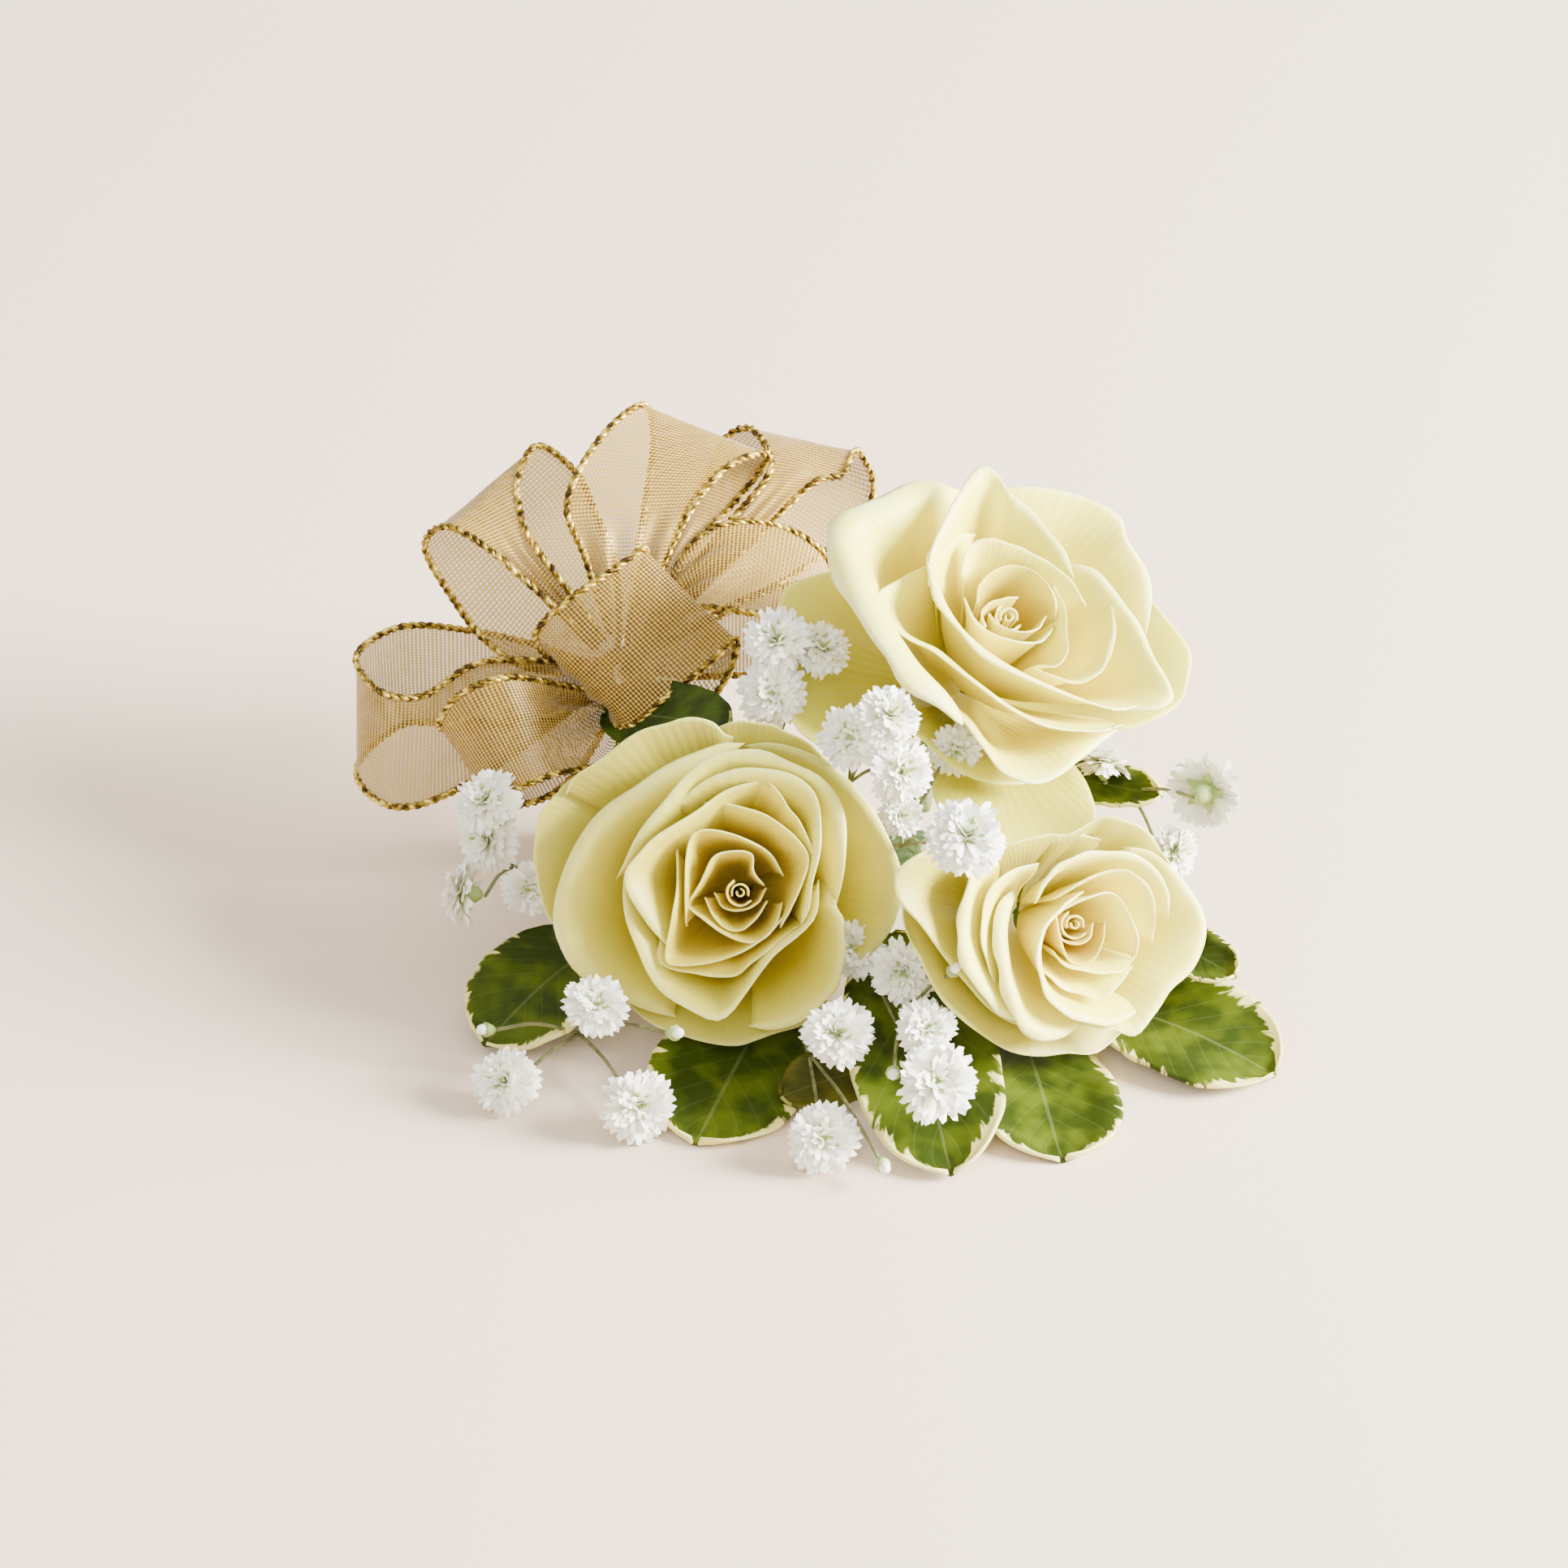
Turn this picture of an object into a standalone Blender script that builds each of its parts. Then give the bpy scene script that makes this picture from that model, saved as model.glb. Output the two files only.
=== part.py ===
"""A rose corsage: three cream spray roses, double baby's breath, variegated leaves and a sheer ribbon bow,
their stems taped into one bundle. Metres, +Z up; the corsage lies on z = 0 and faces -Y.
"""
import math

import bmesh
import bpy
import numpy as np
from mathutils import Matrix, Vector

MM = 0.001
PETAL_THICK = 0.42
LEAF_THICK = 0.5
RIBBON_THICK = 0.5
RIBBON_WIDTH = 15.9
ROSE_STEM_RADIUS = 1.5
TWIG_RADIUS = 0.35
PETAL_LAYER = 0.85
BOW = Vector((-20.0, 17.0, 25.0))
TIE_RADIUS = 3.4
LOOP_START = 5.0
VIEW_ELEVATION = 35.0

# Each rose: where its face is, the way it looks, how deep the bloom is, and the turn of its petals about its axis.
ROSES = {
    "rose_a": {"face": (-6.2, -29.0, 24.0), "looks": (0.0, -0.82, 0.57), "depth": 25.0, "turn": 0.0},
    "rose_b": {"face": (29.5, 3.0, 47.0), "looks": (0.30, -0.40, 0.87), "depth": 25.0, "turn": 0.0},
    "rose_c": {"face": (36.5, -34.0, 23.3), "looks": (0.45, -0.75, 0.48), "depth": 22.0, "turn": 0.0},
}
# Petals from the heart outwards: the way each faces and its half width in degrees, the reach and rise of its rim,
# how far the rim curls out in degrees, and how far its tip stands out.
PETALS = {
    "rose_a": [
        (235, 62, 8.6, 19.5, 40, 0.8),
        (20, 60, 9.6, 21.5, 40, 0.0),
        (112, 66, 13.2, 23.0, 50, 0.6),
        (262, 62, 12.8, 21.5, 70, 1.4),
        (22, 58, 13.6, 21.0, 60, 0.0),
        (318, 40, 14.8, 18.5, 60, 0.0),
        (186, 56, 19.6, 17.5, 60, 0.0),
        (280, 46, 17.0, 15.0, 50, 0.0),
        (28, 60, 19.0, 15.5, 50, 0.0),
        (143, 50, 23.4, 13.0, 40, 0.0),
    ],
    "rose_b": [
        (250, 66, 8.0, 21.0, 40, 0.0),
        (60, 62, 9.6, 23.0, 50, 0.0),
        (300, 60, 12.6, 21.0, 70, 0.6),
        (100, 44, 14.0, 25.0, 60, 2.4),
        (20, 48, 16.4, 21.5, 70, 0.6),
        (172, 50, 20.4, 21.0, 90, 0.0),
        (278, 55, 18.6, 16.5, 90, 0.0),
        (44, 46, 22.0, 19.0, 60, 0.6),
        (350, 44, 24.0, 15.5, 60, 0.6),
        (222, 44, 22.6, 13.0, 60, 0.0),
    ],
    "rose_c": [
        (200, 70, 6.6, 17.5, 40, 0.0),
        (330, 66, 7.6, 18.5, 50, 0.0),
        (80, 66, 9.6, 19.5, 60, 0.6),
        (235, 60, 12.0, 17.5, 70, 0.0),
        (345, 50, 16.4, 16.5, 70, 0.0),
        (178, 54, 20.0, 15.5, 80, 0.0),
        (82, 34, 14.4, 13.5, 60, 0.6),
        (285, 50, 16.4, 13.5, 60, 0.0),
    ],
}


# Each ribbon loop's two edges, out from the knot, over the fold and back: how far right of the bow's middle, how
# far up in the plane that faces the viewer, and how far toward the viewer, in mm.
LOOPS = {
    "loop_left": {
        "left": [(-3, 1, -2), (-12, 4, -8), (-20, 5.8, -10), (-29, 6.3, -9.5), (-34.4, 2.4, -4), (-31, -2.1, 1.5),
                 (-25.5, -2.7, 1), (-18, 1.6, 0), (-5, 1.5, -0.5)],
        "right": [(-3, -2, -2), (-12, -5, -8), (-20, -6.6, -10), (-28.5, -6.2, -9), (-34, -11.5, -3),
                  (-31.5, -15.8, 1.5), (-26, -16.5, 2), (-17, -12, 0), (-5, -3, -1)]},
    "loop_upper_left": {
        "left": [(-3, 1, -1), (-12, 0.8, -3), (-18, 4.4, -3.5), (-22.7, 10.6, -3), (-25.4, 16.1, -1),
                 (-22.7, 18.6, 2.5), (-18, 16.4, 4), (-12.5, 11.2, 4), (-4, 3, 2)],
        "right": [(-1, 3, -3), (-1.5, 14, -7), (-4.2, 21, -8), (-6.6, 26, -7), (-11.5, 29.2, -4), (-13.7, 24.5, -1),
                  (-12.8, 18.5, 1), (-9.5, 13, 2), (-3, 4, 1.5)]},
    "loop_top": {
        "left": [(0, 3, -3), (1.2, 15, -7), (2.4, 23, -8.5), (3.3, 30, -8), (2, 34.4, -4), (-3.5, 29.5, 0.5),
                 (-7.3, 21.5, 3), (-5, 14.7, 3), (-2, 5, 1)],
        "right": [(1, 3, -3), (7.2, 14.7, -7), (12, 20.4, -9), (16, 25, -10), (17.9, 28.4, -7), (13.5, 26.8, -2.5),
                  (9.2, 22.3, 0), (5.5, 15.5, 0.5), (1, 5, 1)]},
    "loop_right_back": {
        "left": [(1, 3, -5), (6, 18, -12), (10, 26, -16), (12.5, 31, -17), (15.6, 31.9, -15), (18.2, 28.5, -11),
                 (17.5, 24.8, -9), (12, 18, -7.5), (2, 4, -4)],
        "right": [(1, 2, -5), (14, 9, -14), (25, 16, -19), (31.5, 23.5, -20), (29.5, 29.4, -16), (27.5, 26, -12),
                  (23.5, 24.5, -10), (14, 15, -9), (2, 3, -4)]},
    "loop_right": {
        "left": [(1, 2, -2), (8, 6, -6), (15, 10, -10), (22, 12, -12), (27, 10.5, -10), (24.6, 16.2, -7),
                 (17, 19.6, -5), (9, 17, -3), (3, 5, -1)],
        "right": [(1, 1, -2), (8, 0, -3), (15, 0, -4), (20.5, 0, -3), (24, 1.5, 0), (22, 6, 3.5), (15.8, 7.6, 4.5),
                  (8.5, 8, 4), (2.5, 3, 1)]},
    "loop_middle": {
        "left": [(0, 1, 1), (1, 5, 4), (1.5, 9, 6), (2.2, 13, 7), (2.6, 15.7, 8.5), (-1.5, 12.6, 11), (-6, 9, 11.5),
                 (-10.6, 5, 9), (-9.5, 2.5, 5), (-5, 1, 2.5)],
        "right": [(1, -1, 1), (5, -3, 4), (9, -3, 6), (12.5, 0, 7), (14, 3.8, 8.5), (9.4, 3, 11), (4.5, -1.4, 11.5),
                  (-0.5, -6, 9), (-1.5, -5.5, 5.5), (-1, -2, 2.5)]},
    "loop_lower_left": {
        "left": [(-2, -2, -1), (-8, -5, 1.2), (-13.3, -6.4, 2.5), (-19, -5.8, 4), (-23.2, -6.8, 7), (-20.5, -2.8, 11),
                 (-14.5, -0.6, 11), (-8.5, -1.6, 4.5), (-3, -3, 0.5)],
        "right": [(-1, -4, -1), (-5, -11, 0.5), (-9, -15, 2.5), (-13, -16.5, 5.5), (-16.5, -16.5, 9), (-13.5, -14.6, 12.5),
                  (-9.2, -12.4, 11), (-5, -10.4, 4.5), (-2, -5, 0.5)]},
}
# Each leaf: where it starts and ends, its width, the way its face looks, and how much it arches.
LEAVES = {
    "leaf_left": {"root": (-22.0, -10.0, 5.0), "tip": (-38.0, -27.0, 2.0), "width": 15.0, "faces": (-0.3, -0.5, 0.8),
                  "arch": 2.0},
    "leaf_front": {"root": (-6.0, -18.0, 1.2), "tip": (-10.0, -48.0, 0.4), "width": 15.0, "faces": (0.1, 0.0, 1.0),
                   "arch": 0.8},
    "leaf_olive": {"root": (5.0, -14.0, 2.2), "tip": (4.0, -39.0, 0.5), "width": 9.0, "faces": (0.0, 0.0, 1.0),
                   "arch": 0.6},
    "leaf_front_right": {"root": (20.0, -26.0, 4.6), "tip": (18.0, -54.0, 0.5), "width": 14.0,
                         "faces": (-0.2, 0.0, 1.0), "arch": 1.0},
    "leaf_under_rose": {"root": (33.0, -24.0, 1.0), "tip": (35.0, -50.5, 0.4), "width": 17.0,
                        "faces": (0.1, 0.0, 1.0), "arch": 0.6},
    "leaf_right": {"root": (38.0, -20.0, 1.6), "tip": (59.0, -37.0, 0.7), "width": 17.0, "faces": (0.1, -0.2, 1.0),
                   "arch": 1.6},
    "leaf_right_small": {"root": (46.0, -14.0, 6.0), "tip": (56.5, -22.0, 8.5), "width": 9.0,
                         "faces": (0.0, -0.4, 1.0), "arch": 1.0},
    "leaf_behind_rose": {"root": (26.0, 4.0, 12.0), "tip": (45.0, -5.0, 18.0), "width": 8.0,
                         "faces": (0.0, -0.8, 0.6), "arch": 1.5},
    "leaf_middle": {"root": (-9.0, 3.0, 29.0), "tip": (-9.5, -5.0, 37.0), "width": 7.0, "faces": (0.0, -0.6, 0.8),
                    "arch": 1.0},
}
# Each sprig of baby's breath: its main stem's points from the tie, then its florets and buds.
# A floret is where it is and its radius, and a bud is where it is; each has a twig from the stem's end.
SPRIGS = {
    "breath_top": {"stem": [(-4.0, 4.5, 12.0), (-1.5, 3.0, 22.0), (0.5, 0.5, 31.0)],
                   "florets": [((-1.2, -0.4, 42.8), 4.2), ((5.6, 1.0, 40.4), 3.5), ((-1.6, -5.0, 37.0), 4.7)],
                   "buds": []},
    "breath_middle": {"stem": [(2.0, 3.0, 12.0), (4.0, -4.0, 20.0), (8.0, -9.0, 26.5)],
                      "florets": [((13.0, -16.5, 42.4), 4.3), ((7.6, -14.0, 36.6), 4.4),
                                  ((15.0, -19.0, 35.2), 4.5)], "buds": []},
    "breath_right": {"stem": [(7.0, 3.0, 11.0), (11.0, -8.0, 17.0), (14.5, -16.0, 22.0)],
                     "florets": [((14.4, -15.3, 26.0), 3.0), ((19.0, -36.2, 38.2), 5.0)],
                     "buds": [((17.0, -22.0, 26.0), 1.3)]},
    "breath_left": {"stem": [(-18.0, 6.0, 4.0), (-28.0, -1.0, 5.0), (-34.0, -1.0, 8.0)],
                    "florets": [((-39.8, -4.4, 19.6), 3.8), ((-37.8, -5.5, 12.4), 3.8), ((-39.5, -12.5, 8.6), 4.4),
                                ((-31.5, -11.0, 11.5), 3.2)], "buds": []},
    "breath_front_left": {"stem": [(-14.0, 2.0, 2.5), (-20.0, -15.0, 2.0), (-25.0, -28.0, 2.4)],
                          "florets": [((-23.5, -34.5, 10.7), 4.0), ((-33.5, -40.0, 4.7), 4.6),
                                      ((-17.0, -45.5, 4.7), 4.6)],
                          "buds": [((-36.0, -33.0, 5.0), 1.3), ((-13.5, -37.0, 7.0), 1.3)]},
    "breath_front_middle": {"stem": [(2.0, -1.0, 1.6), (1.0, -20.0, 3.2), (3.0, -34.0, 4.0)],
                            "florets": [((6.5, -41.0, 11.4), 4.5), ((5.0, -51.5, 4.7), 4.6)],
                            "buds": [((12.0, -54.5, 1.5), 1.3)]},
    "breath_front_right": {"stem": [(8.0, -1.0, 2.0), (12.0, -20.0, 5.0), (14.0, -32.0, 6.0)],
                           "florets": [((18.5, -49.0, 9.8), 4.9), ((13.0, -30.0, 13.0), 4.0),
                                       ((15.0, -40.8, 12.8), 3.5)],
                           "buds": [((13.0, -45.0, 7.5), 1.3)]},
    "breath_behind": {"stem": [(22.0, 8.0, 10.0), (34.0, 6.0, 14.0), (43.0, 2.0, 17.5)],
                      "florets": [((40.2, 3.0, 22.5), 3.0), ((51.0, -9.0, 25.5), 4.2), ((48.5, -14.0, 20.0), 3.2)],
                      "buds": []},
}
# The taped stems: the bundle's middle from end to end.
TAPED = [(-24.0, 15.0, 4.2), (-8.0, 9.0, 4.2), (8.0, 6.0, 4.2), (20.0, 5.0, 4.2)]
TAPED_RADIUS = 4.6
# Everything above is placed from a point behind this one, which is the middle of the taped underside.
UNDERSIDE = Vector((0.0, 7.3, 0.0))


def start_scene():
    for each in list(bpy.data.objects):
        bpy.data.objects.remove(each)
    parts = bpy.data.collections.new("rose_corsage")
    cutters = bpy.data.collections.new("joined_pieces")
    bpy.context.scene.collection.children.link(parts)
    bpy.context.scene.collection.children.link(cutters)
    return parts, cutters


def material(name, colour, roughness, metallic=0.0):
    new = bpy.data.materials.new(name)
    new.use_nodes = True
    shader = new.node_tree.nodes["Principled BSDF"]
    shader.inputs["Base Color"].default_value = (*colour, 1.0)
    shader.inputs["Roughness"].default_value = roughness
    shader.inputs["Metallic"].default_value = metallic
    new.diffuse_color = (*colour, 1.0)
    return new


PARTS, JOINED = start_scene()
CREAM = material("cream_petal", (0.86, 0.82, 0.58), 0.55)
GREEN = material("leaf_green", (0.16, 0.26, 0.08), 0.45)
STEM = material("stem_green", (0.24, 0.34, 0.12), 0.55)
WHITE = material("white_floret", (0.90, 0.90, 0.87), 0.7)
GOLD = material("gold_ribbon", (0.66, 0.48, 0.24), 0.4)
TAPE = material("green_tape", (0.20, 0.30, 0.14), 0.7)


def add_mesh(name, points, faces, finish, collection=None):
    """An object from points in mm and their faces."""
    mesh = bpy.data.meshes.new(name)
    mesh.from_pydata([tuple(MM * value for value in point) for point in points], [], faces)
    mesh.materials.append(finish)
    mesh.shade_smooth()
    mesh.update()
    new = bpy.data.objects.new(name, mesh)
    (collection or PARTS).objects.link(new)
    return new


def sheet_of(name, place, rows, columns, thickness, finish):
    """A sheet whose middle follows place(across, along), across -1 to 1 and along 0 to 1, made solid."""
    points = []
    for row in range(rows + 1):
        for column in range(columns + 1):
            points.append(place(2.0 * column / columns - 1.0, row / rows))
    faces = []
    for row in range(rows):
        for column in range(columns):
            corner = row * (columns + 1) + column
            faces.append((corner, corner + 1, corner + columns + 2, corner + columns + 1))
    new = add_mesh(name, points, faces, finish)
    solid = new.modifiers.new("thickness", "SOLIDIFY")
    solid.thickness = thickness * MM
    solid.offset = 0.0
    solid.use_even_offset = False
    return new


def axes_of(looks):
    """The way something looks, with its own right and up, so that up is as near +Z as it can be."""
    forward = Vector(looks).normalized()
    right = Vector((0.0, 0.0, 1.0)).cross(forward).normalized()
    up = forward.cross(right).normalized()
    return right, up, forward


def bezier(first, second, third, fourth, along):
    back = 1.0 - along
    weights = (back ** 3, 3.0 * back * back * along, 3.0 * back * along * along, along ** 3)
    corners = (first, second, third, fourth)
    return tuple(sum(w * p[axis] for w, p in zip(weights, corners)) for axis in range(len(first)))


def petal_place(layer, layers, facing, half, reach, rise, curl, tip):
    """The middle surface of one petal in its rose's own frame: cup, wall and rolled rim."""
    root = (1.3 + 0.16 * layer, 2.6 + PETAL_LAYER * (layers - layer))
    lip = 1.0 + 0.05 * reach

    def place(across, along):
        side = abs(across)
        full = 1.0 - 0.30 * side ** 3.2
        high = root[1] + (rise - root[1]) * full
        wide = root[0] + (reach - root[0]) * (1.0 - 0.10 * side ** 2)
        step = min(along / 0.8, 1.0)
        outward, upward = bezier(root, (root[0] + 0.72 * (wide - root[0]), root[1] + 0.02 * high),
                                 (wide - 0.04 * reach, root[1] + 0.42 * (high - root[1])), (wide, high), step)
        if along > 0.8:
            lean = math.atan2(0.04 * reach, 0.58 * (high - root[1]))
            turn = math.radians(curl) * (along - 0.8) / 0.2
            outward += lip * (math.cos(lean) - math.cos(lean + turn))
            upward += lip * (math.sin(lean + turn) - math.sin(lean)) * (1.0 + tip * max(0.0, 1.0 - 3.0 * side) / lip)
        angle = math.radians(facing + half * across * (0.8 + 0.2 * along))
        return outward * math.cos(angle), outward * math.sin(angle), upward

    return place


def heart_place(turns, inner, outer, low, high):
    """The rolled petals in a rose's heart: one scroll, across its height and along its turns."""
    def place(across, along):
        angle = 2.0 * math.pi * turns * along
        swell = 1.0 + 0.10 * across
        radius = (inner + (outer - inner) * along) * swell
        top = high - 1.6 * along + 0.35 * math.sin(2.5 * angle)
        return radius * math.cos(angle), radius * math.sin(angle), low + (top - low) * (across + 1.0) / 2.0

    return place


def in_rose(rose):
    """Turns a place in a rose's own frame into a place in the corsage."""
    right, up, forward = axes_of(rose["looks"])
    base = Vector(rose["face"]) - forward * rose["depth"]

    def put(point):
        return tuple(base + right * point[0] + up * point[1] + forward * point[2])

    return put


def tube(name, points, start, end, finish, sides_step=1):
    """A tapering round stem through points in mm, as a mesh."""
    curve = bpy.data.curves.new(name, "CURVE")
    curve.dimensions = "3D"
    curve.bevel_depth = start * MM
    curve.bevel_resolution = sides_step
    curve.use_fill_caps = True
    line = curve.splines.new("POLY")
    line.points.add(len(points) - 1)
    for index, point in enumerate(points):
        line.points[index].co = (*[MM * value for value in point], 1.0)
        line.points[index].radius = 1.0 + (end / start - 1.0) * index / (len(points) - 1)
    guide = bpy.data.objects.new(name + "_line", curve)
    PARTS.objects.link(guide)
    evaluated = guide.evaluated_get(bpy.context.evaluated_depsgraph_get())
    mesh = bpy.data.meshes.new_from_object(evaluated)
    bpy.data.objects.remove(guide)
    work = bmesh.new()
    work.from_mesh(mesh)
    bmesh.ops.remove_doubles(work, verts=work.verts, dist=1e-6)
    bmesh.ops.recalc_face_normals(work, faces=work.faces)
    work.to_mesh(mesh)
    work.free()
    mesh.materials.clear()
    mesh.materials.append(finish)
    mesh.name = name
    new = bpy.data.objects.new(name, mesh)
    PARTS.objects.link(new)
    return new


def smooth_line(knots, steps):
    """Points along a smooth curve through the knots (Catmull-Rom)."""
    ends = [2.0 * Vector(knots[0]) - Vector(knots[1])] + [Vector(k) for k in knots]
    ends.append(2.0 * Vector(knots[-1]) - Vector(knots[-2]))
    line = []
    for span in range(len(knots) - 1):
        a, b, c, d = ends[span:span + 4]
        for step in range(steps):
            t = step / steps
            line.append(0.5 * ((2 * b) + (c - a) * t + (2 * a - 5 * b + 4 * c - d) * t * t
                               + (3 * b - a - 3 * c + d) * t ** 3))
    line.append(Vector(knots[-1]))
    return [tuple(point) for point in line]


def join(base, others):
    """One closed body from pieces that grow together."""
    for index, other in enumerate(others):
        PARTS.objects.unlink(other)
        JOINED.objects.link(other)
        other.hide_render = True
        other.display_type = "WIRE"
        cut = base.modifiers.new("join_%d" % index, "BOOLEAN")
        cut.operation = "UNION"
        cut.object = other
    return base


def hip(name, rose, finish):
    """The rose's swollen base with five sepals opened around its cup."""
    put = in_rose(rose)
    sides = 20
    rings = [(1.4, -5.0, 0.0), (3.0, -3.4, 0.0), (3.6, -1.4, 0.0), (3.4, 0.2, 0.0), (5.0, 0.6, 3.5), (5.0, 1.3, 3.5),
             (2.6, 1.4, 0.0)]
    points = []
    for radius, height, lobe in rings:
        for side in range(sides):
            angle = 2.0 * math.pi * side / sides
            star = radius + lobe * max(0.0, math.cos(5.0 * angle)) - 0.25 * lobe
            points.append(put((star * math.cos(angle), star * math.sin(angle), height)))
    faces = [tuple(reversed(range(sides)))]
    for ring in range(len(rings) - 1):
        for side in range(sides):
            after = (side + 1) % sides
            low = ring * sides
            faces.append((low + side, low + after, low + sides + after, low + sides + side))
    faces.append(tuple((len(rings) - 1) * sides + side for side in range(sides)))
    return add_mesh(name, points, faces, finish)


def build_rose(name, stem_end):
    rose = ROSES[name]
    put = in_rose(rose)
    petals = PETALS[name]
    layers = len(petals)
    heart_low = 2.6 + PETAL_LAYER * layers + 1.0
    heart = heart_place(2.3, 0.9, 4.7, heart_low, heart_low + 9.0)
    sheet_of(name + "_heart", lambda across, along: put(heart(across, along)), 40, 3, PETAL_THICK, CREAM)
    for index, petal in enumerate(petals):
        place = petal_place(index, layers, *petal)
        sheet_of("%s_petal_%d" % (name, index + 1), lambda across, along: put(place(across, along)), 6, 7,
                 PETAL_THICK, CREAM)
    base = hip(name + "_stem", rose, STEM)
    forward = Vector(rose["looks"]).normalized()
    bottom = Vector(rose["face"]) - forward * (rose["depth"] + 4.0)
    line = smooth_line([tuple(bottom), tuple(bottom - forward * 5.0), stem_end], 4)
    join(base, [tube(name + "_stalk", line, ROSE_STEM_RADIUS, ROSE_STEM_RADIUS, STEM)])




def eased(value):
    value = min(max(value, 0.0), 1.0)
    return value * value * (3.0 - 2.0 * value)


def facing_viewer(point):
    """A place in the corsage from how far right, up and toward the viewer it is from the bow's middle."""
    right, up, toward = point
    view = math.radians(VIEW_ELEVATION)
    return BOW + Vector((right, up * math.sin(view) - toward * math.cos(view),
                         up * math.cos(view) + toward * math.sin(view)))


def along_line(line, along):
    step = along * (len(line) - 1)
    low = min(int(step), len(line) - 2)
    return line[low].lerp(line[low + 1], step - low)


def loop_place(spec):
    """The middle surface of a ribbon loop between its two edges, from beside the knot to beside the knot."""
    edges = [[Vector(point) for point in smooth_line([facing_viewer(knot) for knot in spec[side]], 12)]
             for side in ("left", "right")]
    middles = [left.lerp(right, 0.5) for left, right in zip(*edges)]
    clear = [index for index, middle in enumerate(middles) if (middle - BOW).length > LOOP_START]
    first = clear[0] / (len(middles) - 1)
    last = clear[-1] / (len(middles) - 1)

    def place(side, along):
        where = first + (last - first) * along
        left, right = (along_line(edge, where) for edge in edges)
        return tuple(left.lerp(right, 0.5 + 0.5 * side))

    return place


def leaf_place(spec):
    """The middle surface of a leaf, widest past its middle, with a raised midrib fold and a gentle arch."""
    root = Vector(spec["root"])
    tip = Vector(spec["tip"])
    along_axis = tip - root
    faces = Vector(spec["faces"])
    face = (faces - along_axis * faces.dot(along_axis) / along_axis.length_squared).normalized()
    side_axis = along_axis.normalized().cross(face)

    def place(side, along):
        half = 0.5 * spec["width"] * (0.10 + 0.90 * math.sin(math.pi * along ** 1.25) ** 0.75)
        if along > 0.995:
            half = 0.05 * spec["width"]
        lift = spec["arch"] * math.sin(math.pi * along) + 0.06 * spec["width"] * (abs(side) - 0.5)
        point = root + along_axis * along + side_axis * (side * half) + face * lift
        return point.x, point.y, max(point.z, 0.5 * LEAF_THICK + 0.05)

    return place


def ball(name, where, radius, finish, detail=2):
    bpy.ops.mesh.primitive_ico_sphere_add(subdivisions=detail, radius=radius * MM,
                                          location=[value * MM for value in where])
    new = bpy.context.object
    for old in list(new.users_collection):
        old.objects.unlink(new)
    PARTS.objects.link(new)
    new.name = name
    new.data.materials.append(finish)
    new.data.shade_smooth()
    return new


def build_sprig(name, spec):
    """One sprig of baby's breath: a stem, and a twig to each floret and bud, grown together."""
    stem = spec["stem"]
    base = tube(name, smooth_line(stem, 4), TWIG_RADIUS * 1.25, TWIG_RADIUS, STEM)
    others = []
    ends = [(place, radius, 2) for place, radius in spec["florets"]]
    ends += [(place, radius, 1) for place, radius in spec["buds"]]
    for index, (place, radius, detail) in enumerate(ends):
        start = Vector(stem[-1])
        end = Vector(place)
        middle = (start + end) / 2.0 + Vector((0.0, 0.0, 0.6 + 0.2 * index))
        start = start + Vector((0.05, 0.04, 0.03)) * (index - 1)
        others.append(tube("%s_twig_%d" % (name, index), smooth_line([start, middle, end], 3), TWIG_RADIUS,
                           TWIG_RADIUS * 0.8, STEM))
        others.append(ball("%s_end_%d" % (name, index), place, radius, WHITE, detail))
    join(base, others)


def build_tape():
    """The taped stem bundle, with the flat underside that it lies on."""
    line = smooth_line(TAPED, 5)
    sides = 14
    points = []
    for index, middle in enumerate(line):
        before = Vector(line[max(index - 1, 0)])
        after = Vector(line[min(index + 1, len(line) - 1)])
        way = (after - before).normalized()
        level = Vector((-way.y, way.x, 0.0)).normalized()
        swell = 1.0 - 0.14 * (index / (len(line) - 1))
        for side in range(sides):
            angle = 2.0 * math.pi * (side + 0.5) / sides
            sideways = TAPED_RADIUS * swell * math.cos(angle)
            height = max(middle[2] + TAPED_RADIUS * 1.05 * math.sin(angle), 0.0)
            points.append((middle[0] + level.x * sideways, middle[1] + level.y * sideways, height))
    faces = [tuple(reversed(range(sides)))]
    for ring in range(len(line) - 1):
        for side in range(sides):
            after = (side + 1) % sides
            low = ring * sides
            faces.append((low + side, low + after, low + sides + after, low + sides + side))
    faces.append(tuple((len(line) - 1) * sides + side for side in range(sides)))
    new = add_mesh("stem_tape", points, faces, TAPE)
    work = bmesh.new()
    work.from_mesh(new.data)
    bmesh.ops.recalc_face_normals(work, faces=work.faces)
    work.to_mesh(new.data)
    work.free()


build_tape()
build_rose("rose_a", (-10.0, 4.0, 11.5))
build_rose("rose_b", (17.0, 7.0, 11.5))
build_rose("rose_c", (20.5, 1.0, 6.0))
for loop_name, loop_spec in LOOPS.items():
    sheet_of(loop_name, loop_place(loop_spec), 24, 2, RIBBON_THICK, GOLD)
ball("bow_knot", BOW, TIE_RADIUS, GOLD)
for leaf_name, leaf_spec in LEAVES.items():
    sheet_of(leaf_name, leaf_place(leaf_spec), 6, 4, LEAF_THICK, GREEN)
for sprig_name, sprig_spec in SPRIGS.items():
    build_sprig(sprig_name, sprig_spec)

middle = bpy.data.objects.new("corsage_middle", None)
PARTS.objects.link(middle)
middle.location = -UNDERSIDE * MM
for piece in list(PARTS.objects) + list(JOINED.objects):
    if piece is not middle:
        piece.parent = middle
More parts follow.
